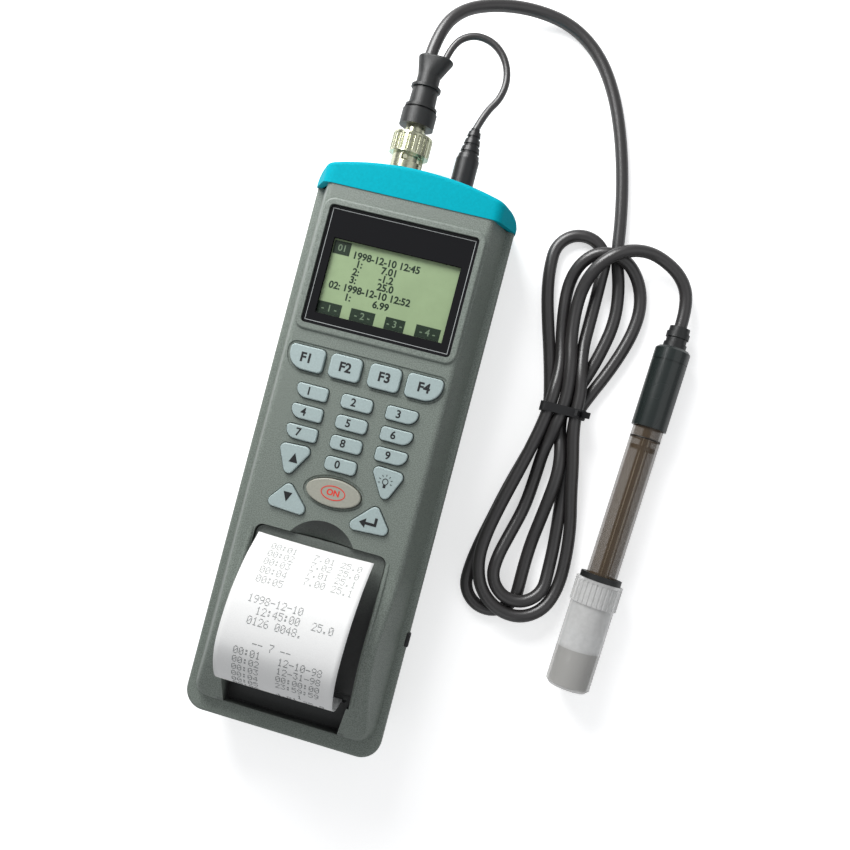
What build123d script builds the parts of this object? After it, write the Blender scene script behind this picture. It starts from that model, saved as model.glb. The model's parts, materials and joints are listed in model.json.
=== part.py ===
# Handheld printing pH meter with its electrode, lying on its back on a table.
# Millimetres. +Y runs to the connectors, +Z out of the keypad, Z = 0 is the rear rest face,
# and the origin is the middle of that face.
from build123d import *
from math import acos, atan2, cos, degrees, hypot, pi, radians, sin, sqrt, tan
import os

os.makedirs("parts", exist_ok=True)

# Case outline and shells
case_end_y = -110.0  # lower end of the case
seam_y = 97.0  # joint between the shells and the end cap
half_width = 39.25
parting_z = 24.0  # joint between the front and rear shells
face_z = 40.0  # keypad face
wall = 2.2
lip_width = 3.0  # ledge round the front shell at the parting line
lip_height = 2.6
end_lip_width = 6.0
corner_radius = 8.0
crown_corner = 7.0
room_corner = 5.2
side_slope = 19.0  # degrees, front shell's side walls
rear_slope = 10.0  # degrees, rear shell's side walls
crown_round = 2.4
rear_round = 3.0
post_radius = 2.5
post_inset = 4.0

# Hump of the printer arms, as heights of the crown along Y
hump_start_y = -34.0
hump_top_y = -66.0
hump_top_z = 44.2
hump_end_z = 29.6
hump_fall = 14.0  # from the hump's top to where the room's ceiling starts to slope

# Printer bay, trench and thumb notch
bay_top_y = -32.5
bay_end_y = -90.0
bay_inset = 13.85  # from the case's side to the bay's wall
bay_corner = 3.0
trench_end_y = -102.5
trench_step = 0.8  # from the bay's wall to the trench's
trench_narrow = 1.9  # narrower by this at its lower end, each side
trench_floor_z = 24.5
trench_floor = 1.6
notch_chord = 24.3
notch_depth_y = 6.7
notch_sphere = 23.0
cover_gap = 0.4

# Window and display
window_inset = 10.6  # from the case's side to the window
window_y0 = 44.1
window_y1 = 89.2
window_corner = 1.6
window_thick = 1.5
window_gap = 0.15
window_sink = 0.6  # top of the window below the face
frame_width = 2.6
frame_height = 0.9
view_margin = 4.15
view_y0 = 48.7
view_y1 = 77.5
display_margin = 2.2
display_thick = 2.2
display_edge = 3.0

# Keys
key_row_y = 31.0  # row of the four wide keys
key_edge = 16.6  # from the case's side to the middle of a corner key
wide_key_height = 9.0
wide_key_space = 3.1
wide_key_corner = 2.0
corner_key_space = 1.6
corner_key_sweep = 6.3
corner_key_corner = 1.8
digit_edge = 21.95  # from the case's side to the middle of an outer digit
digit_key_height = 5.2
digit_key_space = 5.3
digit_key_corner = 1.7
digit_end_sweep = 3.8
digit_end_corner = 1.3
digit_rows_y = (19.3, 11.4, 3.7)
zero_y = -4.3
on_key_height = 10.2
on_key_edge = 28.8  # from the case's side to the end of the on key
on_key_y = -14.7
arrow_keys = {
    "upper": ((-7.0, 6.3), (7.0, 5.6), (1.2, -7.4)),
    "lower": ((9.6, -4.9), (1.5, 5.5), (-9.6, -6.0)),
}
arrow_corner = 2.0
upper_edge = 21.55  # from the case's side to the middles of the arrow keys
lower_edge = 23.85
upper_y = -6.9
lower_y = -20.0
key_gap = 0.35
key_travel = 0.9
key_proud = 1.3
key_flange = 0.6  # flange past the key's outline
flange_thick = 1.2
flange_gap = 0.05
flange_room = 0.3
key_round = 0.5
stem_radius = 1.8
stem_gap = 1.0  # from the stem to its dome on the pad
row_recess = 0.5
row_margin = 1.3

# Main board and contact pad
board_inset = 11.25  # from the case's side to the board
board_z = 28.0
board_thick = 1.6
board_y0 = -28.0
board_y1 = 92.0
chip_height = 1.4
board_chips = [((-9.0, 6.0), (14.0, 14.0)), ((12.0, 10.0), (9.0, 6.0)), ((2.0, 84.0), (18.0, 7.0))]
pad_y0 = -27.0
pad_y1 = 37.0
dome_taper = 20.0
pad_thick = 1.0
dome_radius = 2.4
dome_height = 1.0

# Case screws
screw_inset = 7.75  # from the case's side to a screw
screw_ys = (88.0, 8.0, -56.0)
boss_radius = 3.0
boss_top_z = 30.4
screw_radius = 1.2
screw_clear = 1.45
screw_head_radius = 2.3
head_bore_radius = 2.55
head_seat_z = 6.0
screw_head = 1.6
screw_slot = 0.7
screw_end_gap = 2.0
boss_roof = 1.0

# Battery bay
cell_space = 0.7  # between two cells
cell_length = 49.2
cell_slack = 0.1
cell_count = 4
nub_radius = 2.75
nub_length = 1.0
battery_y0 = 20.0
battery_bay_length = 56.0
battery_inset = 9.25  # from the case's side to the battery bay
battery_wall = 1.6
cover_plate = 1.7
cover_sink = 0.2  # cover's outer face above the rest face
rebate = 1.4  # ledge that the cover seats on
cover_clear = 0.3
battery_clear = 0.3
cover_corner = 1.0
thumb_ridge_y = 6.0
thumb_grooves = 4
thumb_groove_pitch = 2.2
thumb_groove_length = 16.0
thumb_groove_width = 1.0
thumb_groove_depth = 0.5
contact_height = 10.0
contact_thick = 0.4
spring_radius = 3.2
spring_taper = 12.0

# End cap and sockets
cap_rise = 12.2
cap_proud = 0.4  # the cap stands this far past the shells
cap_round = 3.0
cap_top_round = 4.5
cap_corner_drop = 6.6
cap_plan_round = 6.0
cap_edge_round = 1.6
cap_shoulder = 1.9  # the cap's top is this much wider than the crown, each side
bnc_spot = 1.4  # depth of the flat for the socket, from the cap's apex
temp_spot = 2.2
seat_wall = 1.2
seat_clear = 0.2
seat_rim = 1.0
temp_shank_radius = 3.6
socket_z = 22.0
bnc_x = -8.7
temp_x = 14.3
bnc_barrel_radius = 4.8
bnc_barrel_length = 9.0
bnc_flange_radius = 7.0
socket_body_radius = 5.6
socket_depth = 14.0
stud_radius = 0.9
stud_height = 1.5
stud_y = 116.0
stud_clear = 0.3
stud_side = 14.0  # degrees of the slots past the studs' middles
flange_plate = 1.8
pin_radius = 1.0
pin_length = 7.0
jack_length = 9.0

# Plugs and boot
nut_bore_radius = 4.9
nut_sleeve_radius = 6.2
nut_grip_radius = 7.8
nut_start_y = 112.0
nut_grip_y = 117.8
nut_end_y = 126.0
nut_flutes = 24
flute_radius = 0.55
plug_neck_radius = 3.9
plug_neck_end = 129.4
plug_collar = 3.0
nut_web = 2.0
nut_round = 0.6
cap_bore_clear = 0.1
boot_steps = [
    (6.2, 6.8, 6.8),
    (0.9, 5.7, 5.7),
    (1.1, 6.3, 6.3),
    (7.0, 5.3, 5.1),
    (1.1, 5.9, 5.9),
    (4.3, 4.5, 4.5),
]  # length, radius and end radius of each
boot_waist = 4.5
boot_end_x = -7.5
boot_collar = (14.6, 9.4)
boot_round = 0.8
boot_end_y = 157.5
temp_plug_end_y = 133.8
temp_plug_ribs_y = 121.5
temp_plug_radius = 4.5
temp_plug_tip = 2.3
plug_ring = 1.6
rib_groove = 0.9
jack_radius = 1.75
temp_socket_radius = 5.0

# Cords
main_radius = 2.5
temp_radius = 1.4
main_feed = [
    (-10.3, 157.5, 22.0),
    (-9.6, 168.5, 21.5),
    (-4.0, 180.0, 18.0),
    (7.5, 187.6, 12.0),
    (22.5, 191.4, 6.6),
    (38.5, 190.0, 3.2),
    (52.0, 181.0, 2.5),
    (61.5, 167.5, 2.5),
    (68.5, 151.5, 2.5),
    (74.0, 133.5, 2.5),
    (77.6, 116.5, 2.5),
    (78.9, 102.5, 2.5),
]
temp_route = [
    (-4.2, 157.5, 22.0),
    (-3.0, 165.0, 21.6),
    (3.5, 170.2, 20.9),
    (11.5, 169.6, 20.2),
    (18.0, 164.4, 19.8),
    (21.2, 156.4, 19.9),
    (20.4, 148.0, 20.6),
    (16.2, 141.2, 21.6),
    (14.3, 133.8, 22.0),
]
probe_feed = [
    (74.5, 99.0, 7.5),
    (83.9, 104.6, 7.6),
    (95.4, 105.6, 7.6),
    (105.6, 100.0, 7.2),
]  # it ends on the electrode's axis, at its strain relief
hank_height = 10.2
hank_round = 2.4
tie_y0 = 35.9
tie_y1 = 39.4
tie_x0 = 66.0
tie_x1 = 82.0
tie_thick = 1.2
tie_tail = 5.0
hank_outline = [
    (66.0, 44.0), (62.0, 58.0), (57.5, 72.0), (54.3, 84.0), (54.3, 94.0), (57.0, 101.0),
    (62.0, 107.0), (68.0, 108.2), (76.0, 105.0), (84.0, 103.0), (91.0, 99.0), (95.3, 90.0),
    (95.8, 80.0), (93.5, 68.0), (89.0, 58.0), (84.4, 47.0), (82.4, 39.0), (82.6, 33.0),
    (84.5, 25.0), (87.0, 10.0), (90.5, -5.0), (92.3, -18.0), (91.5, -32.0), (86.0, -42.0),
    (77.0, -47.0), (66.0, -45.5), (57.0, -37.0), (54.5, -24.0), (56.0, -10.0), (60.0, 5.0),
    (63.0, 20.0), (65.6, 32.0),
]

# Electrode, as lengths along its axis from the top of its head, and radii
head_top_xy = (109.6, 71.6)
bottle_end_xy = (102.0, -68.0)
head_radius = 6.9
head_length = 32.5
shaft_radius = 6.0
shaft_wall = 1.0
tip_s = 122.0  # end of the glass bulb
relief_length = 8.6
relief_radius = 4.5
relief_end_radius = 4.0
relief_rings = 2
probe_end_run = 10.4
probe_rise = 1.29  # degrees
head_joint_s = 5.4
shaft_socket = 6.0
shaft_end_s = 115.0
wire_joint_s = 40.0
rib_cut = 0.45
bottle_foot = 1.4
washer_s = 92.6
washer_thick = 2.3
washer_radius = 8.1
grip_clear = 0.08
cap_s = washer_s + washer_thick
bottle_cap_length = 9.7
bottle_cap_radius = 9.25
bottle_ribs = 30
bottle_radius = 8.6
bottle_wall = 0.9
bottle_neck_radius = 7.6
bottle_neck_length = 8.0
bottle_end_s = 137.8
stem_r = 1.6
bulb_radius = 4.4

# Printer
roll_y = -50.0
roll_z = 18.2
roll_radius = 14.0
roll_bore = 4.05
spindle_radius = 4.0
paper_room = 1.2  # from the roll to its cradle, each side
cradle_thick = 1.6
cradle_half = 6.5
paper_gap = 3.15  # from the bay's wall to the roll's end, were it centred
paper_offset = -0.8
paper_thick = 0.3
slot_y = -89.3
strip_start_z = 29.5
hinge_y = -85.4
hinge_z = 31.0
hinge_radius = 1.9
hinge_pin_radius = 1.1
hinge_clear = 0.08
cover_thick = 1.8
cover_sink_z = 1.6  # cover's top below the face
cover_bend_y = -60.0
cover_bend_z = 36.7
cover_fall = 20.0  # degrees, slope of the cover at its hinge
lip_drop = 0.8
pin_end_gap = 0.3
strip_straight = 2.0
strip_arch = [(-90.3, 44.0), (-86.0, 54.0), (-74.0, 62.0), (-58.0, 60.5), (-45.0, 52.5), (-35.8, 41.8)]
strip_end_way = (0.62, -0.78)
tear_y = -91.0
tear_gap = 0.7
tear_top_z = 27.0
tear_tooth = 0.9
tear_teeth = 22
tear_thick = 0.6
platen_y = -94.2
platen_z = 15.0
platen_radius = 4.4
platen_gap = 3.0  # from the bay's wall to the roller's end
shaft_small = 1.5
bearing_clear = 0.05
plate_thick = 1.5
plate_out = 0.1  # from the bay's wall out to the frame's plate
frame_z0 = wall
frame_y0 = -101.0
frame_y1 = -59.5
frame_top_z = 22.0
frame_chamfer = 8.0
axle_past = 0.8
shaft_depth = 3.0
motor_round = 1.0
gear_module = 0.8
addendum = 0.75  # modules
dedendum = 1.1
pressure_angle = 20.0
platen_teeth = 15
drive_teeth = 24
pinion_teeth = 12
gear_width = 3.0
gear_backlash = 0.34
gear_gap = 1.2
motor_radius = 4.8
motor_length = 26.0
motor_shaft = 1.0
drive_angle = 10.0  # degrees from the platen to the drive gear
pinion_step = 15  # drive teeth from the platen mesh to the pinion mesh

slope_rate = tan(radians(side_slope))
rear_rate = tan(radians(rear_slope))
bay_half = half_width - bay_inset
trench_half_top = bay_half - trench_step
trench_half_end = trench_half_top - trench_narrow
window_width = 2 * (half_width - window_inset)
view_width = window_width - 2 * view_margin
key_pitch = (half_width - key_edge) / 1.5
wide_key = (key_pitch - wide_key_space, wide_key_height)
corner_key = (key_pitch - corner_key_space, wide_key_height)
digit_pitch_x = half_width - digit_edge
digit_key = (digit_pitch_x - digit_key_space, digit_key_height)
on_key = (2 * (half_width - on_key_edge), on_key_height)
swept_keys = {
    "corner": (*corner_key, corner_key_sweep, corner_key_corner),
    "digit_end": (*digit_key, digit_end_sweep, digit_end_corner),
}
board_half = half_width - board_inset
post_x = board_half - post_inset
screw_x = half_width - screw_inset
battery_bay_half = half_width - battery_inset
cell_pitch = 2 * battery_bay_half / cell_count - cell_slack
cell_radius = (cell_pitch - cell_space) / 2
paper_width = 2 * (bay_half - paper_gap)
tear_half = trench_half_end - tear_gap
platen_half = bay_half - platen_gap
plate_x = bay_half + plate_out
crown_z = parting_z + lip_height
crown_half = half_width - lip_width
crown_end_y = case_end_y + end_lip_width
ceiling_z = face_z - wall
board_top = board_z + board_thick
pad_top = board_top + pad_thick
dome_top = pad_top + dome_height
stem_z = dome_top + stem_gap
flange_top = ceiling_z - flange_gap
flange_z = flange_top - flange_thick
key_top = face_z + key_proud


def finish(builder, name):
    builder.part.label = name
    export_step(builder.part, f"parts/{name}.step")


# Plan of the case, with the two lower corners rounded
def case_plan(side, end, corner, top):
    with Locations((0, (top + end) / 2)):
        Rectangle(2 * side, top - end)
    fillet(vertices().sort_by(Axis.Y)[:2], corner)


# Front shell
# The crown is the raised part inside the lip: a tapered block cut by the profile of its top.
past_seam = 30.0
crown_block = 18.5
with BuildPart() as crown:
    with BuildSketch(Plane.XY.offset(crown_z)):
        case_plan(crown_half, crown_end_y, crown_corner, seam_y + past_seam)
    extrude(amount=crown_block, taper=side_slope)
    with BuildSketch(Plane.YZ):
        with BuildLine():
            flat = Line((seam_y + past_seam, face_z), (hump_start_y, face_z))
            hump = Spline(
                (hump_start_y, face_z),
                (hump_top_y, hump_top_z),
                (crown_end_y, hump_end_z),
                tangents=[(-1, 0), (-0.8, -0.6)],
            )
            Polyline(
                (crown_end_y, hump_end_z),
                (case_end_y - wall, crown_z),
                (case_end_y - wall, face_z + crown_block),
                (seam_y + past_seam, face_z + crown_block),
                (seam_y + past_seam, face_z),
            )
        make_face()
    extrude(amount=2 * half_width, both=True, mode=Mode.SUBTRACT)
    top_faces = crown.faces().filter_by(lambda f: f.normal_at().Z > 0.6)
    rim_edges = top_faces.edges().filter_by(
        lambda e: e.center().Z > crown_z + 0.5
        and e.center().Y < seam_y + 0.9 * past_seam
        and not (abs(e.center().X) < 1 and e.center().Y > crown_end_y + wall)
    )
    fillet(rim_edges, crown_round)
    split(bisect_by=Plane.XZ.offset(-seam_y), keep=Keep.TOP)

# The room inside the front shell leaves walls round the bay, the trench and the notch.
notch_y = bay_top_y + notch_depth_y - (notch_chord**2 / 4 + notch_depth_y**2) / (2 * notch_depth_y)
notch_circle = bay_top_y + notch_depth_y - notch_y
notch_rise = sqrt(notch_sphere**2 - notch_circle**2)
notch_room_z = face_z - 3 * wall
with BuildPart() as front_room:
    with BuildSketch(Plane.XY.offset(parting_z)):
        room_half = crown_half - wall + lip_height * slope_rate
        case_plan(room_half, crown_end_y + wall, room_corner, seam_y + past_seam)
    extrude(amount=ceiling_z - parting_z, taper=side_slope)
    with BuildSketch(Plane.XY.offset(parting_z)):
        with Locations((0, (bay_top_y + case_end_y) / 2 + wall)):
            Rectangle(2 * (bay_half + wall), bay_top_y - case_end_y)
        with Locations((0, bay_top_y)):
            Rectangle(notch_chord + 2 * wall, 2 * (notch_depth_y + wall))
    extrude(amount=face_z, mode=Mode.SUBTRACT)
    with BuildSketch(Plane.XY.offset(parting_z)):
        with Locations((0, bay_top_y + notch_depth_y / 2 + wall)):
            Rectangle(notch_chord + 2 * wall, notch_depth_y)
    extrude(amount=notch_room_z - parting_z)
    # the ceiling slopes with the hump's lower end
    with BuildSketch(Plane.YZ):
        Polygon(
            (hump_top_y - hump_fall, ceiling_z),
            (crown_end_y, hump_end_z - wall),
            (crown_end_y, face_z),
            (hump_top_y - hump_fall, face_z),
            align=None,
        )
    extrude(amount=half_width, both=True, mode=Mode.SUBTRACT)

with BuildPart() as front_lip:
    with BuildSketch(Plane.XY.offset(parting_z)):
        case_plan(half_width, case_end_y, corner_radius, seam_y)
    extrude(amount=lip_height)
    lip_edges = front_lip.edges().group_by(Axis.Z)[-1].filter_by(
        lambda e: e.center().Y < seam_y - 0.5
    )
    fillet(lip_edges, lip_height / 2)


# Outline of one key about its own middle; side is -1 on the left and 1 on the right
def key_outline(kind, side, grow=0.0):
    with BuildSketch() as outline:
        if kind == "wide":
            RectangleRounded(*wide_key, wide_key_corner)
        elif kind == "digit":
            RectangleRounded(*digit_key, digit_key_corner)
        elif kind == "on":
            Ellipse(on_key[0] / 2 + grow, on_key[1] / 2 + grow)
        elif kind in swept_keys:
            width, height, sweep_r, corner_r = swept_keys[kind]
            Rectangle(width, height)
            low = vertices().group_by(Axis.Y)[0].sort_by(Axis.X)
            fillet(low[-1] if side > 0 else low[0], sweep_r)
            sharp = vertices().filter_by(
                lambda v: abs(abs(v.X) - width / 2) < 0.01 and abs(abs(v.Y) - height / 2) < 0.01
            )
            fillet(sharp, corner_r)
        else:
            Polygon(*[(side * x, y) for x, y in arrow_keys[kind]], align=None)
            fillet(vertices(), arrow_corner)
        if grow and kind != "on":
            offset(amount=grow)
    return outline.sketch


# All the keys' outlines at their places
def key_pattern(grow):
    return [(place, key_outline(kind, side, grow)) for kind, side, place in keys.values()]


keys = {
    "key_f1": ("corner", -1, (-1.5 * key_pitch, key_row_y)),
    "key_f2": ("wide", -1, (-0.5 * key_pitch, key_row_y)),
    "key_f3": ("wide", 1, (0.5 * key_pitch, key_row_y)),
    "key_f4": ("corner", 1, (1.5 * key_pitch, key_row_y)),
    "key_0": ("digit", 1, (0, zero_y)),
    "key_up": ("upper", -1, (upper_edge - half_width, upper_y)),
    "key_light": ("upper", 1, (half_width - upper_edge, upper_y)),
    "key_down": ("lower", -1, (lower_edge - half_width, lower_y)),
    "key_enter": ("lower", 1, (half_width - lower_edge, lower_y)),
    "key_on": ("on", 1, (0, on_key_y)),
}
for row, row_y in enumerate(digit_rows_y):
    for column in (-1, 0, 1):
        digit = 3 * row + column + 2
        kind = "digit" if column == 0 else "digit_end"
        keys[f"key_{digit}"] = (kind, column or 1, (column * digit_pitch_x, row_y))

window_mid_y = (window_y0 + window_y1) / 2
window_height = window_y1 - window_y0
view_mid_y = (view_y0 + view_y1) / 2
view_height = view_y1 - view_y0
window_top = face_z - window_sink
window_seat = window_top - window_thick
key_openings = key_pattern(key_gap)
flange_rooms = key_pattern(key_flange + flange_room)

with BuildPart() as front_shell:
    add(crown.part)
    add(front_lip.part)
    add(front_room.part, mode=Mode.SUBTRACT)
    # raised bead round the window
    with BuildSketch(Plane.XY.offset(face_z - wall / 2)):
        with Locations((0, window_mid_y)):
            RectangleRounded(
                window_width + 2 * frame_width, window_height + 2 * frame_width, window_corner + frame_width
            )
    extrude(amount=wall / 2 + frame_height)
    bead_edges = front_shell.edges().filter_by(
        lambda e: abs(e.center().Z - face_z - frame_height) < 0.01
    )
    fillet(bead_edges, frame_height - 0.1)
    # seat of the window and the opening for the display
    with BuildSketch(Plane.XY.offset(window_seat - wall)):
        with Locations((0, window_mid_y)):
            Rectangle(window_width + 2 * wall, window_height + 2 * wall)
    extrude(amount=ceiling_z + wall / 2 - window_seat + wall)
    with BuildSketch(Plane.XY.offset(window_seat)):
        with Locations((0, window_mid_y)):
            RectangleRounded(
                window_width + 2 * window_gap, window_height + 2 * window_gap, window_corner
            )
    extrude(amount=2 * frame_width, mode=Mode.SUBTRACT)
    with BuildSketch(Plane.XY.offset(window_seat - 2 * wall)):
        with Locations((0, view_mid_y)):
            Rectangle(view_width + display_margin, view_height + display_margin)
    extrude(amount=3 * wall, mode=Mode.SUBTRACT)
    # recess round the row of wide keys, and the ring round the on key
    row_width = 3 * key_pitch + corner_key[0] + 2 * row_margin
    with BuildSketch(Plane.XY.offset(face_z - row_recess)):
        with Locations((0, key_row_y)):
            Rectangle(row_width, corner_key[1] + 2 * row_margin)
        fillet(vertices().group_by(Axis.Y)[0], corner_key_sweep + row_margin)
        fillet(vertices().group_by(Axis.Y)[-1], corner_key_corner + row_margin)
    extrude(amount=wall, mode=Mode.SUBTRACT)
    with BuildSketch(Plane.XY.offset(face_z - row_recess)):
        with Locations((0, on_key_y)):
            Ellipse(on_key[0] / 2 + row_margin, on_key[1] / 2 + row_margin)
    extrude(amount=wall, mode=Mode.SUBTRACT)
    # key openings
    with BuildSketch(Plane.XY.offset(ceiling_z - wall)):
        for place, opening in key_openings:
            with Locations(place):
                add(opening)
    extrude(amount=3 * wall, mode=Mode.SUBTRACT)
    # room under the face for the keys' flanges
    with BuildSketch(Plane.XY.offset(flange_z - key_travel - flange_room)):
        for place, opening in flange_rooms:
            with Locations(place):
                add(opening)
    extrude(amount=ceiling_z - flange_z + key_travel + flange_room, mode=Mode.SUBTRACT)
    # floor of the trench, then the printer bay, the trench and the thumb notch
    with BuildSketch(Plane.XY.offset(trench_floor_z - trench_floor)):
        Polygon(
            (-trench_half_top - wall, bay_end_y),
            (trench_half_top + wall, bay_end_y),
            (trench_half_end + wall, trench_end_y - wall),
            (-trench_half_end - wall, trench_end_y - wall),
            align=None,
        )
    extrude(amount=trench_floor)
    with BuildSketch(Plane.XY.offset(parting_z - wall)):
        with Locations((0, (bay_top_y + bay_end_y) / 2)):
            Rectangle(2 * bay_half, bay_top_y - bay_end_y)
        fillet(vertices().group_by(Axis.Y)[-1], bay_corner)
    extrude(amount=face_z, mode=Mode.SUBTRACT)
    with BuildSketch(Plane.XY.offset(trench_floor_z)):
        Polygon(
            (-trench_half_top, bay_end_y + cover_gap),
            (trench_half_top, bay_end_y + cover_gap),
            (trench_half_end, trench_end_y),
            (-trench_half_end, trench_end_y),
            align=None,
        )
    extrude(amount=face_z, mode=Mode.SUBTRACT)
    with Locations((0, notch_y, face_z + notch_rise)):
        Sphere(notch_sphere, mode=Mode.SUBTRACT)
    # screw bosses with their pilot holes
    with BuildSketch(Plane.XY.offset(parting_z)):
        for boss_y in screw_ys:
            with Locations((screw_x, boss_y), (-screw_x, boss_y)):
                Circle(boss_radius)
    extrude(amount=boss_top_z - parting_z)
    with BuildSketch(Plane.XY.offset(parting_z)):
        for boss_y in screw_ys:
            with Locations((screw_x, boss_y), (-screw_x, boss_y)):
                Circle(screw_radius + bearing_clear)
    extrude(amount=boss_top_z - parting_z - boss_roof, mode=Mode.SUBTRACT)
    # holes for the cover's hinge pins
    with BuildSketch(Plane.YZ.offset(-bay_half - wall / 2)):
        with Locations((hinge_y, hinge_z)):
            Circle(hinge_pin_radius + hinge_clear)
    extrude(amount=2 * bay_half + wall, mode=Mode.SUBTRACT)
finish(front_shell, "front_shell")


# Rear shell
battery_mid_y = battery_y0 + battery_bay_length / 2
cell_z = cover_sink + cover_plate + battery_clear + cell_radius
battery_roof_z = cell_z + cell_radius + battery_clear
rear_half = half_width - parting_z * rear_rate
rear_end_y = case_end_y + parting_z * rear_rate
rear_corner = corner_radius - parting_z * rear_rate
cradle_x = paper_width / 2 + paper_room
with BuildPart() as rear_shell:
    with BuildSketch():
        case_plan(rear_half, rear_end_y, rear_corner, seam_y + past_seam)
    extrude(amount=parting_z, taper=-rear_slope)
    fillet(faces().sort_by(Axis.Z)[0].edges(), rear_round)
    split(bisect_by=Plane.XZ.offset(-seam_y), keep=Keep.TOP)
    with BuildSketch(Plane.XY.offset(wall)):
        inner_half = rear_half - wall + wall * rear_rate
        case_plan(inner_half, rear_end_y + wall - wall * rear_rate, rear_corner - wall / 2, seam_y + past_seam)
    extrude(amount=parting_z - wall, taper=-rear_slope, mode=Mode.SUBTRACT)
    # battery bay, open to the rear, with the rebate for its cover
    with BuildSketch():
        with Locations((0, battery_mid_y)):
            Rectangle(2 * (battery_bay_half + battery_wall), battery_bay_length + 2 * battery_wall)
    extrude(amount=battery_roof_z + battery_wall)
    with BuildSketch():
        with Locations((0, battery_mid_y)):
            Rectangle(2 * battery_bay_half, battery_bay_length)
    extrude(amount=battery_roof_z, mode=Mode.SUBTRACT)
    with BuildSketch():
        with Locations((0, battery_mid_y)):
            Rectangle(2 * (battery_bay_half + rebate), battery_bay_length + 2 * rebate)
    extrude(amount=cover_sink + cover_plate + bearing_clear, mode=Mode.SUBTRACT)
    # screw bosses, posts for the board, cradles for the roll's spindle
    with BuildSketch():
        for boss_y in screw_ys:
            with Locations((screw_x, boss_y), (-screw_x, boss_y)):
                Circle(boss_radius)
    extrude(amount=parting_z)
    with BuildSketch():
        for boss_y in screw_ys:
            with Locations((screw_x, boss_y), (-screw_x, boss_y)):
                Circle(screw_clear)
    extrude(amount=parting_z, mode=Mode.SUBTRACT)
    with BuildSketch():
        for boss_y in screw_ys:
            with Locations((screw_x, boss_y), (-screw_x, boss_y)):
                Circle(head_bore_radius)
    extrude(amount=head_seat_z, mode=Mode.SUBTRACT)
    with BuildSketch(Plane.XY.offset(wall / 2)):
        for post_y in (board_y0 + post_inset, board_y1 - post_inset):
            with Locations((post_x, post_y), (-post_x, post_y)):
                Circle(post_radius)
    extrude(amount=board_z - wall / 2)
    for side in (-1, 1):
        with BuildSketch(Plane.YZ.offset(side * (cradle_x + cradle_thick / 2) - cradle_thick / 2)):
            with BuildLine():
                Polyline(
                    (roll_y - spindle_radius, roll_z),
                    (roll_y - cradle_half, roll_z),
                    (roll_y - cradle_half, wall / 2),
                    (roll_y + cradle_half, wall / 2),
                    (roll_y + cradle_half, roll_z),
                    (roll_y + spindle_radius, roll_z),
                )
                ThreePointArc(
                    (roll_y + spindle_radius, roll_z),
                    (roll_y, roll_z - spindle_radius),
                    (roll_y - spindle_radius, roll_z),
                )
            make_face()
        extrude(amount=cradle_thick)
finish(rear_shell, "rear_shell")

# Battery cover, with a thumb ridge, hinged on its end by the connectors
with BuildPart() as battery_cover:
    with BuildSketch(Plane.XY.offset(cover_sink)):
        with Locations((0, battery_mid_y)):
            RectangleRounded(
                2 * (battery_bay_half + rebate - cover_clear),
                battery_bay_length + 2 * (rebate - cover_clear),
                cover_corner,
            )
    extrude(amount=cover_plate)
    with BuildSketch(Plane.XY.offset(cover_sink)):
        with Locations((0, battery_y0 + thumb_ridge_y)):
            with GridLocations(0, thumb_groove_pitch, 1, thumb_grooves):
                SlotOverall(thumb_groove_length, thumb_groove_width)
    extrude(amount=thumb_groove_depth, mode=Mode.SUBTRACT)
finish(battery_cover, "battery_cover")

# Four cells side by side, each with its raised contact
with BuildPart() as batteries:
    for column in range(cell_count):
        cell_x = (column - (cell_count - 1) / 2) * cell_pitch
        turn = 1 if column % 2 else -1
        cell_end = battery_mid_y - turn * cell_length / 2
        with BuildSketch(Plane(origin=(cell_x, cell_end, cell_z), x_dir=(1, 0, 0), z_dir=(0, turn, 0))):
            Circle(cell_radius)
        extrude(amount=cell_length)
        with BuildSketch(
            Plane(origin=(cell_x, cell_end + turn * cell_length, cell_z), x_dir=(1, 0, 0), z_dir=(0, turn, 0))
        ):
            Circle(nub_radius)
        extrude(amount=nub_length)
finish(batteries, "batteries")

# Contact plates on the two ends of the bay, with a spring at each flat end of a cell
with BuildPart() as battery_contacts:
    for turn in (-1, 1):
        plate_y = battery_mid_y + turn * battery_bay_length / 2
        with BuildSketch(Plane(origin=(0, plate_y, cell_z), x_dir=(1, 0, 0), z_dir=(0, -turn, 0))):
            Rectangle(2 * (battery_bay_half - battery_clear), contact_height)
        extrude(amount=contact_thick)
    for column in range(cell_count):
        cell_x = (column - (cell_count - 1) / 2) * cell_pitch
        turn = 1 if column % 2 else -1
        room = (battery_bay_length - cell_length) / 2
        flat_y = battery_mid_y - turn * battery_bay_length / 2
        with BuildSketch(Plane(origin=(cell_x, flat_y, cell_z), x_dir=(1, 0, 0), z_dir=(0, turn, 0))):
            Circle(spring_radius)
        extrude(amount=room, taper=spring_taper)
        nub_y = battery_mid_y + turn * battery_bay_length / 2
        with BuildSketch(Plane(origin=(cell_x, nub_y, cell_z), x_dir=(1, 0, 0), z_dir=(0, -turn, 0))):
            Rectangle(2 * nub_radius, 2 * nub_radius)
        extrude(amount=room - nub_length)
finish(battery_contacts, "battery_contacts")

# Case screws, driven from the rear
screw_places = [(side * screw_x, boss_y) for boss_y in screw_ys for side in (-1, 1)]
with BuildPart() as case_screws:
    with BuildSketch(Plane.XY.offset(head_seat_z - screw_head)):
        with Locations(*screw_places):
            Circle(screw_head_radius)
    extrude(amount=screw_head)
    with BuildSketch(Plane.XY.offset(head_seat_z)):
        with Locations(*screw_places):
            Circle(screw_radius)
    extrude(amount=boss_top_z - screw_end_gap - head_seat_z)
    # cross slots in the heads
    with BuildSketch(Plane.XY.offset(head_seat_z - screw_head)):
        with Locations(*screw_places):
            Rectangle(2 * screw_radius, screw_slot)
            Rectangle(screw_slot, 2 * screw_radius)
    extrude(amount=screw_head / 2, mode=Mode.SUBTRACT)
finish(case_screws, "case_screws")


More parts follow.
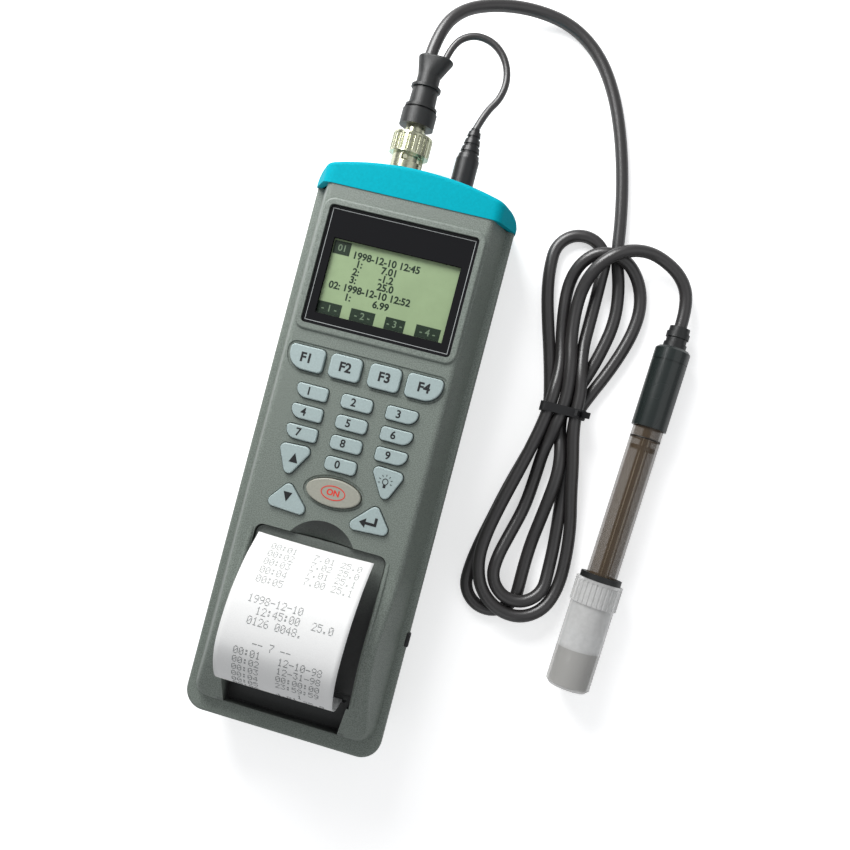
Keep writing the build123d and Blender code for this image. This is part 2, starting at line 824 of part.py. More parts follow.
# End cap: the shells' section run along Y and cut to the arc of the cap's plan
def cap_solid(inset, start):
    side = half_width + cap_proud - inset
    top_side = crown_half - (face_z - crown_z) * slope_rate + cap_shoulder - inset
    reach = cap_rise - inset
    with BuildPart() as block:
        with BuildSketch(Plane.XZ.offset(-start)):
            Polygon(
                (-rear_half - cap_proud + inset, inset),
                (rear_half + cap_proud - inset, inset),
                (side, parting_z),
                (side, crown_z),
                (top_side, face_z + cap_proud - inset),
                (-top_side, face_z + cap_proud - inset),
                (-side, crown_z),
                (-side, parting_z),
                align=None,
            )
            fillet(vertices().group_by(Axis.Y)[-1], cap_top_round)
            fillet(vertices().group_by(Axis.Y)[0], cap_round)
        extrude(amount=-(seam_y + cap_rise - start + wall))
        with BuildSketch():
            with BuildLine():
                Polyline(
                    (-side, seam_y + reach - cap_corner_drop),
                    (-side, start),
                    (side, start),
                    (side, seam_y + reach - cap_corner_drop),
                )
                ThreePointArc(
                    (side, seam_y + reach - cap_corner_drop),
                    (0, seam_y + reach),
                    (-side, seam_y + reach - cap_corner_drop),
                )
            make_face()
            fillet(vertices().sort_by(Axis.Y)[2:], cap_plan_round - inset / 2)
        extrude(amount=face_z + wall, mode=Mode.INTERSECT)
    return block.part


def socket_plane(axis_x, y):
    return Plane(origin=(axis_x, y, socket_z), x_dir=(1, 0, 0), z_dir=(0, 1, 0))


bnc_seat_y = seam_y + cap_rise - bnc_spot
temp_seat_y = seam_y + cap_rise - temp_spot
with BuildPart() as end_cap:
    add(cap_solid(0, seam_y))
    end_edges = end_cap.edges().filter_by(
        lambda e: e.center().Y > seam_y + wall
        and (e.center().Z > face_z - wall / 2 or e.center().Z < wall / 2)
    )
    fillet(end_edges, cap_edge_round)
    add(cap_solid(wall, seam_y - wall), mode=Mode.SUBTRACT)
    for axis_x, seat_y, seat_radius, hole in (
        (bnc_x, bnc_seat_y, bnc_flange_radius, socket_body_radius),
        (temp_x, temp_seat_y, temp_socket_radius, temp_shank_radius),
    ):
        with BuildSketch(socket_plane(axis_x, seat_y)):
            Circle(seat_radius + seat_clear)
        extrude(amount=cap_rise, mode=Mode.SUBTRACT)
        with BuildSketch(socket_plane(axis_x, seat_y - 2 * wall - seat_rim)):
            Circle(seat_radius + seat_rim)
        extrude(amount=2 * wall + seat_rim - seat_wall)
        with BuildSketch(socket_plane(axis_x, seam_y)):
            Circle(hole + bearing_clear)
        extrude(amount=2 * cap_rise, mode=Mode.SUBTRACT)
finish(end_cap, "end_cap")

# Keys: a cap that rises through the face, a flange under it and a stem over its dome
flange_patterns = dict(zip(keys, key_pattern(key_flange)))
cap_patterns = dict(zip(keys, key_pattern(0.0)))
for name in keys:
    place, cap_outline = cap_patterns[name]
    with BuildPart() as key:
        with BuildSketch(Plane.XY.offset(flange_z)):
            with Locations(place):
                add(flange_patterns[name][1])
        extrude(amount=flange_thick)
        with BuildSketch(Plane.XY.offset(flange_z)):
            with Locations(place):
                add(cap_outline)
        extrude(amount=key_top - flange_z)
        fillet(key.faces().sort_by(Axis.Z)[-1].edges(), key_round)
        with BuildSketch(Plane.XY.offset(stem_z)):
            with Locations(place):
                Circle(stem_radius)
        extrude(amount=flange_z - stem_z)
    finish(key, name)

# Window, display and light
with BuildPart() as display_window:
    with BuildSketch(Plane.XY.offset(window_seat)):
        with Locations((0, window_mid_y)):
            RectangleRounded(window_width, window_height, window_corner)
    extrude(amount=window_thick)
finish(display_window, "display_window")

panel_z = window_seat - wall - display_thick
with BuildPart() as lcd_panel:
    with BuildSketch(Plane.XY.offset(panel_z)):
        with Locations((0, view_mid_y)):
            Rectangle(view_width + 2 * display_edge, view_height + 2 * display_edge)
    extrude(amount=display_thick)
    with BuildSketch(Plane.XY.offset(panel_z + display_thick)):
        with Locations((0, view_mid_y)):
            Rectangle(view_width, view_height)
    extrude(amount=wall - window_gap)
finish(lcd_panel, "lcd_panel")

with BuildPart() as lcd_backlight:
    with BuildSketch(Plane.XY.offset(board_top)):
        with Locations((0, view_mid_y)):
            Rectangle(view_width + display_edge, view_height + display_edge)
    extrude(amount=panel_z - board_top)
finish(lcd_backlight, "lcd_backlight")

# Main board on its posts, with its chips, and the pad with a dome under each key
with BuildPart() as main_board:
    with BuildSketch(Plane.XY.offset(board_z)):
        with Locations((0, (board_y0 + board_y1) / 2)):
            Rectangle(2 * board_half, board_y1 - board_y0)
    extrude(amount=board_thick)
    with BuildSketch(Plane.XY.offset(board_z - chip_height)):
        for chip_place, chip_size in board_chips:
            with Locations(chip_place):
                Rectangle(*chip_size)
    extrude(amount=chip_height)
finish(main_board, "main_board")

with BuildPart() as contact_pad:
    with BuildSketch(Plane.XY.offset(board_top)):
        with Locations((0, (pad_y0 + pad_y1) / 2)):
            Rectangle(2 * board_half, pad_y1 - pad_y0)
    extrude(amount=pad_thick)
    with BuildSketch(Plane.XY.offset(pad_top)):
        with Locations(*[place for kind, side, place in keys.values()]):
            Circle(dome_radius)
    extrude(amount=dome_height, taper=dome_taper)
finish(contact_pad, "contact_pad")


# Printer
# A cylinder along X between two places, about the point (y, z)
def across(x0, x1, y, z, radius, mode=Mode.ADD):
    with BuildSketch(Plane.YZ.offset(x0)) as disc:
        with Locations((y, z)):
            Circle(radius)
    extrude(disc.sketch, amount=x1 - x0, mode=mode)


def gear_outline(teeth, turn):
    pitch = gear_module * teeth / 2
    base = pitch * cos(radians(pressure_angle))
    tip = pitch + addendum * gear_module
    root = pitch - dedendum * gear_module
    slope = radians(pressure_angle)
    at_pitch = pi / (2 * teeth) - gear_backlash / (4 * pitch) + tan(slope) - slope

    def half_angle(radius):
        flank = acos(min(1.0, base / radius))
        return at_pitch - (tan(flank) - flank)

    points = []
    for tooth in range(teeth):
        middle = radians(turn) + 2 * pi * tooth / teeth
        for hand, radii in ((-1, (root, pitch, tip)), (1, (tip, pitch, root))):
            for radius in radii:
                angle = middle + hand * half_angle(radius)
                points.append((radius * cos(angle), radius * sin(angle)))
    with BuildSketch() as outline:
        Polygon(*points, align=None)
    return outline.sketch


cover_half = bay_half - cover_gap
hinge_end = bay_half + wall / 2 - pin_end_gap
with BuildPart() as paper_cover:
    with BuildSketch(Plane.YZ):
        with BuildLine():
            Spline(
                (bay_top_y - cover_gap, face_z - cover_sink_z - cover_thick / 2),
                (cover_bend_y, cover_bend_z),
                (hinge_y, hinge_z + hinge_radius - cover_thick / 2),
                tangents=[(-1, 0), (-cos(radians(cover_fall)), -sin(radians(cover_fall)))],
            )
        trace(line_width=cover_thick)
    extrude(amount=cover_half, both=True)
    with BuildSketch(Plane.XY.offset(parting_z)):
        with Locations((0, bay_top_y - cover_gap)):
            Rectangle(2 * cover_half, bay_top_y - bay_end_y, align=(Align.CENTER, Align.MAX))
        fillet(vertices().group_by(Axis.Y)[-1], bay_corner)
    extrude(amount=face_z - parting_z, mode=Mode.INTERSECT)
    across(-cover_half, cover_half, hinge_y, hinge_z, hinge_radius)
    across(-hinge_end, hinge_end, hinge_y, hinge_z, hinge_pin_radius)
    # lip that the paper leaves over
    with BuildSketch(Plane.YZ):
        with Locations(((slot_y + paper_thick / 2 + hinge_y) / 2, hinge_z - lip_drop)):
            Rectangle(hinge_y - slot_y - paper_thick / 2, 2 * lip_drop)
    extrude(amount=cover_half - cover_gap, both=True)
finish(paper_cover, "paper_cover")

with BuildPart() as paper_strip:
    with BuildSketch(Plane.YZ.offset(paper_offset)):
        with BuildLine():
            root_run = Line((slot_y, strip_start_z), (slot_y, strip_start_z + strip_straight))
            Spline(root_run @ 1, *strip_arch, tangents=[(0, 1), strip_end_way])
        trace(line_width=paper_thick)
    extrude(amount=paper_width / 2, both=True)
finish(paper_strip, "paper_strip")

# Serrated bar that the paper is torn on, on the floor of the trench
with BuildPart() as tear_bar:
    with BuildSketch(Plane.XZ.offset(-tear_y)):
        with BuildLine():
            tooth_width = 2 * tear_half / tear_teeth
            edge = [(-tear_half, trench_floor_z)]
            for tooth in range(tear_teeth):
                edge.append((-tear_half + tooth * tooth_width, tear_top_z - tear_tooth))
                edge.append((-tear_half + (tooth + 0.5) * tooth_width, tear_top_z))
            edge.append((tear_half, tear_top_z - tear_tooth))
            edge.append((tear_half, trench_floor_z))
            Polyline(*edge, close=True)
        make_face()
    extrude(amount=tear_thick)
finish(tear_bar, "tear_bar")

with BuildPart() as paper_roll:
    across(paper_offset - paper_width / 2, paper_offset + paper_width / 2, roll_y, roll_z, roll_radius)
    across(-half_width, half_width, roll_y, roll_z, roll_bore, Mode.SUBTRACT)
finish(paper_roll, "paper_roll")

with BuildPart() as roll_spindle:
    across(-cradle_x - cradle_thick, cradle_x + cradle_thick, roll_y, roll_z, spindle_radius)
    across(-cradle_x - cradle_thick, cradle_x + cradle_thick, roll_y, roll_z, shaft_small, Mode.SUBTRACT)
finish(roll_spindle, "roll_spindle")

# Places of the gears: the drive gear leads to the platen's gear and the pinion drives it
drive_reach = gear_module * (platen_teeth + drive_teeth) / 2
drive_y = platen_y + drive_reach * cos(radians(drive_angle))
drive_z = platen_z + drive_reach * sin(radians(drive_angle))
drive_step = 360 / drive_teeth
pinion_angle = drive_angle + 180 - pinion_step * drive_step
pinion_reach = gear_module * (pinion_teeth + drive_teeth) / 2
pinion_y = drive_y + pinion_reach * cos(radians(pinion_angle))
pinion_z = drive_z + pinion_reach * sin(radians(pinion_angle))
gear_x = plate_x + plate_thick + gear_gap

with BuildPart() as printer_frame:
    with BuildSketch(Plane.XY.offset(frame_z0)):
        with Locations((0, (frame_y0 + frame_y1) / 2)):
            Rectangle(2 * (plate_x + plate_thick), frame_y1 - frame_y0)
    extrude(amount=plate_thick)
    for side_x in (-plate_x - plate_thick, plate_x):
        with BuildSketch(Plane.YZ.offset(side_x)):
            with BuildLine():
                Polyline(
                    (frame_y0, frame_z0),
                    (frame_y0, platen_z + 2 * shaft_small),
                    (frame_y0 + frame_chamfer, frame_top_z),
                    (frame_y1 - frame_chamfer, frame_top_z),
                    (frame_y1, pinion_z),
                    (frame_y1, frame_z0),
                    close=True,
                )
            make_face()
        extrude(amount=plate_thick)
    across(plate_x + plate_thick, gear_x + gear_width + axle_past, drive_y, drive_z, shaft_small)
    across(-half_width, half_width, platen_y, platen_z, shaft_small + bearing_clear, Mode.SUBTRACT)
    across(0, half_width, pinion_y, pinion_z, shaft_small, Mode.SUBTRACT)
finish(printer_frame, "printer_frame")


def gear_on(teeth, turn, y, z):
    outline = gear_outline(teeth, turn)
    with BuildSketch(Plane.YZ.offset(gear_x)) as wheel:
        with Locations((y, z)):
            add(outline)
    extrude(wheel.sketch, amount=gear_width)


with BuildPart() as platen_roller:
    across(-platen_half, platen_half, platen_y, platen_z, platen_radius)
    shaft_left = -plate_x - plate_thick - axle_past
    across(shaft_left, gear_x + gear_width, platen_y, platen_z, shaft_small)
    gear_on(platen_teeth, drive_angle, platen_y, platen_z)
finish(platen_roller, "platen_roller")

with BuildPart() as drive_gear:
    gear_on(drive_teeth, drive_angle + 180 + drive_step / 2, drive_y, drive_z)
    across(gear_x, gear_x + gear_width, drive_y, drive_z, shaft_small + bearing_clear, Mode.SUBTRACT)
finish(drive_gear, "drive_gear")

with BuildPart() as motor_pinion:
    gear_on(pinion_teeth, pinion_angle + 180, pinion_y, pinion_z)
    across(plate_x - shaft_depth, gear_x + gear_width, pinion_y, pinion_z, motor_shaft)
finish(motor_pinion, "motor_pinion")

with BuildPart() as printer_motor:
    across(plate_x - motor_length, plate_x, pinion_y, pinion_z, motor_radius)
    fillet(printer_motor.edges().sort_by(Axis.X)[0], motor_round)
    across(plate_x - shaft_depth - 1, plate_x, pinion_y, pinion_z, motor_shaft + bearing_clear, Mode.SUBTRACT)
finish(printer_motor, "printer_motor")


# Sockets, plugs and boot: turned about axes along Y
def along(axis_x, y0, y1, radius, end_radius=None, mode=Mode.ADD):
    with BuildSketch(socket_plane(axis_x, y0)) as disc:
        Circle(radius)
    slant = degrees(atan2(radius - (end_radius or radius), y1 - y0))
    extrude(disc.sketch, amount=y1 - y0, taper=slant, mode=mode)


flange_y = bnc_seat_y + flange_plate
barrel_end = flange_y + bnc_barrel_length
with BuildPart() as bnc_socket:
    along(bnc_x, bnc_seat_y, flange_y, bnc_flange_radius)
    along(bnc_x, bnc_seat_y - socket_depth, bnc_seat_y, socket_body_radius)
    along(bnc_x, flange_y, barrel_end, bnc_barrel_radius)
    with BuildSketch(Plane.XY.offset(socket_z)):
        with Locations((bnc_x, stud_y)):
            Circle(stud_radius)
    extrude(amount=bnc_barrel_radius + stud_height, both=True)
    along(bnc_x, barrel_end - pin_length - 1, barrel_end, pin_radius + bearing_clear, mode=Mode.SUBTRACT)
finish(bnc_socket, "bnc_socket")

with BuildPart() as bnc_nut:
    along(bnc_x, nut_start_y, nut_grip_y, nut_sleeve_radius)
    along(bnc_x, nut_grip_y, nut_end_y, nut_grip_radius)
    fillet(bnc_nut.edges().filter_by(GeomType.CIRCLE).group_by(Axis.Y)[-1], nut_round)
    with BuildSketch(socket_plane(bnc_x, nut_grip_y + nut_round)):
        with PolarLocations(nut_grip_radius, nut_flutes):
            Circle(flute_radius)
    extrude(amount=nut_end_y - nut_grip_y - 3 * nut_round, mode=Mode.SUBTRACT)
    along(bnc_x, nut_start_y, nut_end_y - nut_web, nut_bore_radius, mode=Mode.SUBTRACT)
    along(bnc_x, nut_start_y, nut_end_y, plug_neck_radius + cap_bore_clear, mode=Mode.SUBTRACT)
    # bayonet slots: one window for each stud, with its way in at the far end
    window_reach = nut_sleeve_radius + 1
    stud_room = stud_radius + stud_clear
    for half_turn in (0, 180):
        for y0, y1, angle0, angle1 in (
            (stud_y - stud_room, stud_y + stud_room, -stud_side, 90 + stud_side),
            (nut_start_y, stud_y, 90 - stud_side, 90 + stud_side),
        ):
            with BuildSketch(socket_plane(bnc_x, y0)):
                with BuildLine():
                    a0 = 90 + half_turn + angle0
                    rim = CenterArc((0, 0), window_reach, a0, angle1 - angle0)
                    Polyline(rim @ 1, (0, 0), rim @ 0)
                make_face()
            extrude(amount=y1 - y0, mode=Mode.SUBTRACT)
finish(bnc_nut, "bnc_nut")

with BuildPart() as bnc_plug:
    along(bnc_x, barrel_end - pin_length, barrel_end, pin_radius)
    along(bnc_x, barrel_end, barrel_end + plug_collar, nut_bore_radius - 2 * cap_bore_clear)
    along(bnc_x, barrel_end, plug_neck_end, plug_neck_radius)
finish(bnc_plug, "bnc_plug")

# Boot: turned steps, then a collar that spreads for the two cables
with BuildPart() as cable_boot:
    boot_y = plug_neck_end
    for length, radius, end_radius in boot_steps:
        along(bnc_x, boot_y, boot_y + length, radius, end_radius)
        boot_y += length
    with BuildSketch(socket_plane(bnc_x, boot_y)):
        Circle(boot_waist)
    with BuildSketch(Plane(origin=(boot_end_x, boot_end_y, socket_z), x_dir=(1, 0, 0), z_dir=(0, 1, 0))):
        SlotOverall(*boot_collar)
    loft()
    boot_rim = cable_boot.edges().filter_by(lambda e: e.center().Y > boot_end_y - 0.01)
    fillet(boot_rim, boot_round)
finish(cable_boot, "cable_boot")

temp_face_y = temp_seat_y + flange_plate
with BuildPart() as temp_socket:
    along(temp_x, temp_seat_y, temp_face_y, temp_socket_radius)
    along(temp_x, temp_seat_y - socket_depth, temp_seat_y, temp_shank_radius)
    along(temp_x, temp_face_y - jack_length - 1, temp_face_y, jack_radius + bearing_clear, mode=Mode.SUBTRACT)
finish(temp_socket, "temp_socket")

with BuildPart() as temp_plug:
    along(temp_x, temp_face_y - jack_length, temp_face_y, jack_radius)
    along(temp_x, temp_face_y, temp_face_y + plug_ring, temp_plug_radius + 0.5)
    along(temp_x, temp_face_y, temp_plug_ribs_y, temp_plug_radius)
    rib_count = 4
    rib_pitch = (temp_plug_end_y - temp_plug_ribs_y) / rib_count
    for rib in range(rib_count):
        rib_y = temp_plug_ribs_y + rib * rib_pitch
        big = temp_plug_radius - (rib + 0.4) * (temp_plug_radius - temp_plug_tip) / rib_count
        along(temp_x, rib_y, rib_y + 0.6 * rib_pitch, big, big - 0.3)
        along(temp_x, rib_y + 0.6 * rib_pitch, rib_y + rib_pitch, big - rib_groove)
finish(temp_plug, "temp_plug")


# Cords: straight runs joined by arcs
def cord_radii(route):
    radii = []
    for before, corner, after in zip(route, route[1:], route[2:]):
        run_in = Vector(*corner) - Vector(*before)
        run_out = Vector(*after) - Vector(*corner)
        turn = radians(run_in.get_angle(run_out))
        radii.append(0.45 * min(run_in.length, run_out.length) / tan(turn / 2))
    return radii


def cord(route, radius, name):
    radii = cord_radii(route)
    print(name, "radii", [round(r, 1) for r in radii])
    with BuildPart() as tube:
        with BuildLine() as run:
            FilletPolyline(*route, radius=radii)
        with BuildSketch(Plane(origin=run.line @ 0, z_dir=run.line % 0)) as section:
            Circle(radius)
        sweep(section.sketch, path=run.line)
    length = sum(edge.length for edge in run.edges())
    print(name, "length", round(length, 1), "volume", round(tube.part.volume))
    print(name, "volume by its length", round(pi * radius**2 * length))
    finish(tube, name)


head_x, head_y = head_top_xy
tip_x, tip_y = bottle_end_xy
lean = radians(probe_rise)
plan_length = hypot(tip_x - head_x, tip_y - head_y)
probe_way = Vector(
    cos(lean) * (tip_x - head_x) / plan_length,
    cos(lean) * (tip_y - head_y) / plan_length,
    sin(lean),
)
head_top = Vector(head_x, head_y, head_radius + 0.02)
relief_end = head_top - probe_way * relief_length
probe_run = relief_end - probe_way * probe_end_run
probe_route = [*probe_feed, tuple(probe_run), tuple(relief_end)]
print("electrode's strain relief ends at", [round(value, 3) for value in relief_end])
print("electrode's axis", [round(value, 5) for value in probe_way])
cord(main_feed, main_radius, "probe_cable_feed")
cord(probe_route, main_radius, "probe_cable_end")
cord(temp_route, temp_radius, "temp_cable")

# Hank of the probe's cable in its tie
with BuildPart() as tie_ring:
    with BuildSketch(Plane.XZ.offset(-tie_y1)):
        with Locations(((tie_x0 + tie_x1) / 2, hank_height / 2 + tie_thick / 2)):
            RectangleRounded(
                tie_x1 - tie_x0 + 2 * tie_thick, hank_height + tie_thick, hank_round
            )
            Rectangle(tie_x1 - tie_x0, hank_height - tie_thick, mode=Mode.SUBTRACT)
    extrude(amount=tie_y1 - tie_y0)

with BuildPart() as cable_hank:
    with BuildSketch():
        with BuildLine():
            Spline(*hank_outline, periodic=True)
        make_face()
    extrude(amount=hank_height)
    fillet(cable_hank.edges(), hank_round)
    with BuildSketch(Plane.XZ.offset(-tie_y1)):
        with Locations(((tie_x0 + tie_x1) / 2, hank_height / 2 + tie_thick / 2)):
            Rectangle(4 * tie_x0, 4 * hank_height)
            Rectangle(tie_x1 - tie_x0, hank_height - tie_thick, mode=Mode.SUBTRACT)
    extrude(amount=tie_y1 - tie_y0, mode=Mode.SUBTRACT)
finish(cable_hank, "cable_hank")

with BuildPart() as cable_tie:
    add(tie_ring.part)
    # the two tails, turned up from the top of the ring
    with BuildSketch(Plane.XZ.offset(-(tie_y0 + tie_y1) / 2)):
        for tail_x, tail_turn in ((tie_x1 - 1.0, -38), (tie_x1 - 1.0, 24)):
            with Locations(Location((tail_x, hank_height + tie_thick, 0), (0, 0, tail_turn))):
                Rectangle(tie_thick, tie_tail, align=(Align.CENTER, Align.MIN))
    extrude(amount=tie_thick, both=True)
finish(cable_tie, "cable_tie")

# Electrode: pieces turned about its axis, from points of (length along it, radius)
probe_plane = Plane(origin=head_top, x_dir=probe_way, z_dir=probe_way.cross(Vector(0, 0, 1)))
probe_axis = Axis(head_top, probe_way)


def turned(points, mode=Mode.ADD):
    with BuildSketch(probe_plane) as profile:
        Polygon(*points, align=None)
    revolve(profile.sketch, axis=probe_axis, mode=mode)


def ring_points(s0, s1, inner, outer):
    return [(s0, inner), (s0, outer), (s1, outer), (s1, inner)]


with BuildPart() as probe_relief:
    turned(ring_points(-relief_length, 0, 0, relief_end_radius))
    for ring in range(relief_rings):
        ring_s = -relief_length + (ring + 0.5) * relief_length / relief_rings
        turned(ring_points(ring_s, ring_s + relief_length / relief_rings / 2, 0, relief_radius))
finish(probe_relief, "probe_relief")

with BuildPart() as probe_head:
    turned([(0, 0), (0, head_radius - 1), (1, head_radius), (head_length, head_radius), (head_length, 0)])
    turned(ring_points(head_joint_s, head_joint_s + 0.5, head_radius - 0.3, head_radius + 1), Mode.SUBTRACT)
    turned(ring_points(head_length - shaft_socket, head_length, 0, shaft_radius), Mode.SUBTRACT)
finish(probe_head, "probe_head")

shaft_s = head_length - shaft_socket
with BuildPart() as probe_shaft:
    turned(ring_points(shaft_s, shaft_end_s, shaft_radius - shaft_wall, shaft_radius))
    turned(ring_points(shaft_s, shaft_s + shaft_wall, stem_r, shaft_radius))
    turned(ring_points(shaft_end_s - shaft_wall, shaft_end_s, stem_r, shaft_radius))
finish(probe_shaft, "probe_shaft")

with BuildPart() as probe_stem:
    turned(ring_points(shaft_s, shaft_end_s, 0, stem_r))
    turned(ring_points(wire_joint_s, wire_joint_s + 1.5, 0, shaft_radius - shaft_wall))
finish(probe_stem, "probe_stem")

with BuildPart() as probe_bulb:
    with BuildSketch(probe_plane):
        with Locations((tip_s - bulb_radius, 0)):
            Circle(bulb_radius)
        with Locations((tip_s - bulb_radius, -bulb_radius)):
            Rectangle(2 * bulb_radius + 1, 2 * bulb_radius, mode=Mode.SUBTRACT)
        with Locations((shaft_end_s - bulb_radius, 0)):
            Rectangle(2 * bulb_radius, 2 * bulb_radius + 1, mode=Mode.SUBTRACT)
    revolve(axis=probe_axis)
finish(probe_bulb, "probe_bulb")

bore = shaft_radius + grip_clear
with BuildPart() as bottle_washer:
    turned(ring_points(washer_s, washer_s + washer_thick, bore, washer_radius))
finish(bottle_washer, "bottle_washer")

cap_end_s = cap_s + bottle_cap_length
neck_start_s = cap_end_s - bottle_neck_length
with BuildPart() as bottle_cap:
    turned(ring_points(cap_s, cap_end_s, bore, bottle_cap_radius))
    turned(ring_points(neck_start_s, cap_end_s, 0, bottle_neck_radius), Mode.SUBTRACT)
    groove_plane = Plane(origin=head_top + probe_way * (cap_s + 1), z_dir=probe_way)
    with BuildSketch(groove_plane):
        with PolarLocations(bottle_cap_radius, bottle_ribs):
            Circle(rib_cut)
    extrude(amount=bottle_cap_length, mode=Mode.SUBTRACT)
finish(bottle_cap, "bottle_cap")

with BuildPart() as storage_bottle:
    turned(ring_points(neck_start_s, cap_end_s, 0, bottle_neck_radius))
    turned(
        [
            (cap_end_s, 0),
            (cap_end_s, bottle_radius),
            (bottle_end_s - bottle_foot, bottle_radius),
            (bottle_end_s, bottle_radius - bottle_foot),
            (bottle_end_s, 0),
        ]
    )
    turned(ring_points(neck_start_s, cap_end_s + 1, 0, bottle_neck_radius - bottle_wall), Mode.SUBTRACT)
    turned(ring_points(cap_end_s + 1, bottle_end_s - bottle_wall, 0, bottle_radius - bottle_wall), Mode.SUBTRACT)
finish(storage_bottle, "storage_bottle")
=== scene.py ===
# Handheld printing pH meter on a pale table, with its electrode on a tied cable.
import bmesh
import bpy
import json
from math import atan2, cos, hypot, pi, radians, sin
from mathutils import Matrix, Vector


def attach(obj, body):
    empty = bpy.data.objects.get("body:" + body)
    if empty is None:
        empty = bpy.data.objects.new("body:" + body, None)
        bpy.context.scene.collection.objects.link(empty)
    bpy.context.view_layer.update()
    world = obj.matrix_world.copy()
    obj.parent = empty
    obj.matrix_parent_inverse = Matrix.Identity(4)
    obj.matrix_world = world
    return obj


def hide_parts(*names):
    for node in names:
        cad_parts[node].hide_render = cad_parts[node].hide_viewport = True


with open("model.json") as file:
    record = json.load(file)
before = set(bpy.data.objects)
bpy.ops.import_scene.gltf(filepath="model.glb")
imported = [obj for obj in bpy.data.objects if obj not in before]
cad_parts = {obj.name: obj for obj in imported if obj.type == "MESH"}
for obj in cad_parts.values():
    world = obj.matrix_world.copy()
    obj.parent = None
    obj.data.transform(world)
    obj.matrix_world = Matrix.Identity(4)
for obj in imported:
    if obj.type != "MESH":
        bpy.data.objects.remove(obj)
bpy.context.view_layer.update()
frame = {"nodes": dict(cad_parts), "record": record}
nodes = frame["nodes"]
mm = 0.001


def say(stage):
    print("stage:", stage, flush=True)


# Camera, at the photograph's angle
cameraSet = {
    "place": (66.755, 15.069, 392.744),
    "right": (0.9613, 0.2536, -0.1078),
    "up": (-0.2510, 0.9673, 0.0371),
    "back": (0.1137, -0.0086, 0.9935),
    "lens": 41.08,
}
cameraData = bpy.data.cameras.new("camera")
cameraData.lens = cameraSet["lens"]
cameraData.sensor_width = 36
cameraData.clip_start = 0.01
camera = bpy.data.objects.new("camera", cameraData)
turn = Matrix((cameraSet["right"], cameraSet["up"], cameraSet["back"])).transposed()
camera.matrix_world = Matrix.Translation(Vector(cameraSet["place"]) * mm) @ turn.to_4x4()
bpy.context.collection.objects.link(camera)
bpy.context.scene.camera = camera


# Cords, each on one smooth line through its route
def makeCord(name, route, radius):
    curve = bpy.data.curves.new(name, "CURVE")
    curve.dimensions = "3D"
    line = curve.splines.new("NURBS")
    line.points.add(len(route) - 1)
    for point, place in zip(line.points, route):
        point.co = (place[0] * mm, place[1] * mm, place[2] * mm, 1)
        point.radius = radius * mm
    line.order_u = 3
    line.use_endpoint_u = True
    line.resolution_u = 6
    curve.bevel_depth = 1.0  # times the points' radius
    curve.bevel_resolution = 5
    curve.use_fill_caps = True
    cordObject = bpy.data.objects.new(name, curve)
    bpy.context.collection.objects.link(cordObject)
    return cordObject


feedRoute = [  # out of the boot, over the table and down to the hank
    (-10.3, 157.5, 22), (-9.6, 168.5, 21.5), (-4, 180, 18), (7.5, 187.6, 12), (22.5, 191.4, 6.6),
    (38.5, 190, 3.2), (52, 181, 2.5), (61.5, 167.5, 2.5), (68.5, 151.5, 2.5), (74, 133.5, 2.5),
    (77.6, 116.5, 2.5), (79.4, 103, 2.5),
]
firstTurn = [
    (83.7, 90, 2.5), (85.2, 77, 2.5), (83, 64, 2.5), (79.6, 52, 2.5), (76.0, 43, 2.8),
    (74.0, 37.6, 3.1), (74.6, 31, 3.3), (77.6, 21, 6.0), (78.4, 12, 7.2), (77.4, 2, 6.6),
    (76.2, -8, 4.0), (75.2, -16, 2.5), (74.8, -24.5, 2.5), (74.8, -32.0, 2.5), (74.8, -40.3, 2.5),
    (68.7, -46.4, 2.5), (60.1, -46.4, 2.5), (54.0, -40.3, 2.5), (54.0, -31.7, 2.5), (55.4, -22, 2.5),
    (57.8, -11, 2.5), (60.6, 2, 2.5), (65, 18, 2.6), (67.8, 28, 3.0), (68.8, 37.6, 3.1),
]
secondTurn = [
    (66.4, 48, 2.8), (63.0, 60, 2.5), (59.2, 72, 2.5), (56.2, 83, 2.5), (54.8, 92.4, 2.5),
    (54.8, 101.6, 2.5), (60.9, 107.7, 2.5), (69.5, 107.7, 2.5), (75.6, 101.6, 2.5), (75.6, 93, 2.5),
    (75.7, 84, 2.5), (75.7, 74, 2.5), (75.6, 64, 3.6), (77.2, 54, 7.0), (79.2, 46, 7.8),
    (79.2, 37.6, 8.0), (80.4, 29, 8.0), (83.2, 18, 7.2), (85.6, 6, 5.2), (88.6, -6, 2.6),
    (90.0, -18, 2.5), (90.0, -30, 3.5), (86.6, -40, 5.6), (78.6, -45.6, 7.4), (68.6, -45.0, 7.5),
    (60.2, -38.6, 7.5), (56.6, -28, 7.5), (57.2, -17, 7.5), (59.6, -5, 7.5), (62.8, 8, 7.5),
    (65.6, 20, 7.6), (67.6, 30, 7.8), (68.6, 37.6, 8.0),
]
thirdTurn = [
    (69.0, 46, 7.9), (68.8, 56, 4.6), (66.4, 66, 2.6), (64.4, 77, 2.5), (63.6, 88, 2.6),
    (66.0, 96, 5.6), (71.4, 101.4, 7.6), (79, 102.6, 7.8), (86, 99.8, 5.2), (91.4, 93, 2.6),
    (93.8, 84, 2.5), (93, 74, 2.5), (90.2, 64, 2.5), (86.8, 55, 2.5), (83.2, 47, 2.6),
    (79.4, 37.6, 3.1), (80.4, 28, 3.0), (81.0, 18, 2.6), (82.0, 6, 2.5), (83.4, -6, 2.5),
    (84.2, -16, 2.6), (84.4, -24.9, 3.6), (84.4, -33.5, 5.6), (78.3, -39.6, 7.3), (69.7, -39.6, 7.5),
    (63.6, -33.5, 7.5), (63.6, -24.9, 7.0), (66.4, -14, 4.2), (69.2, -3, 2.6), (70.2, 10, 2.6),
    (70.6, 20, 4.6), (72.6, 30, 8.0), (73.8, 37.6, 8.1),
]
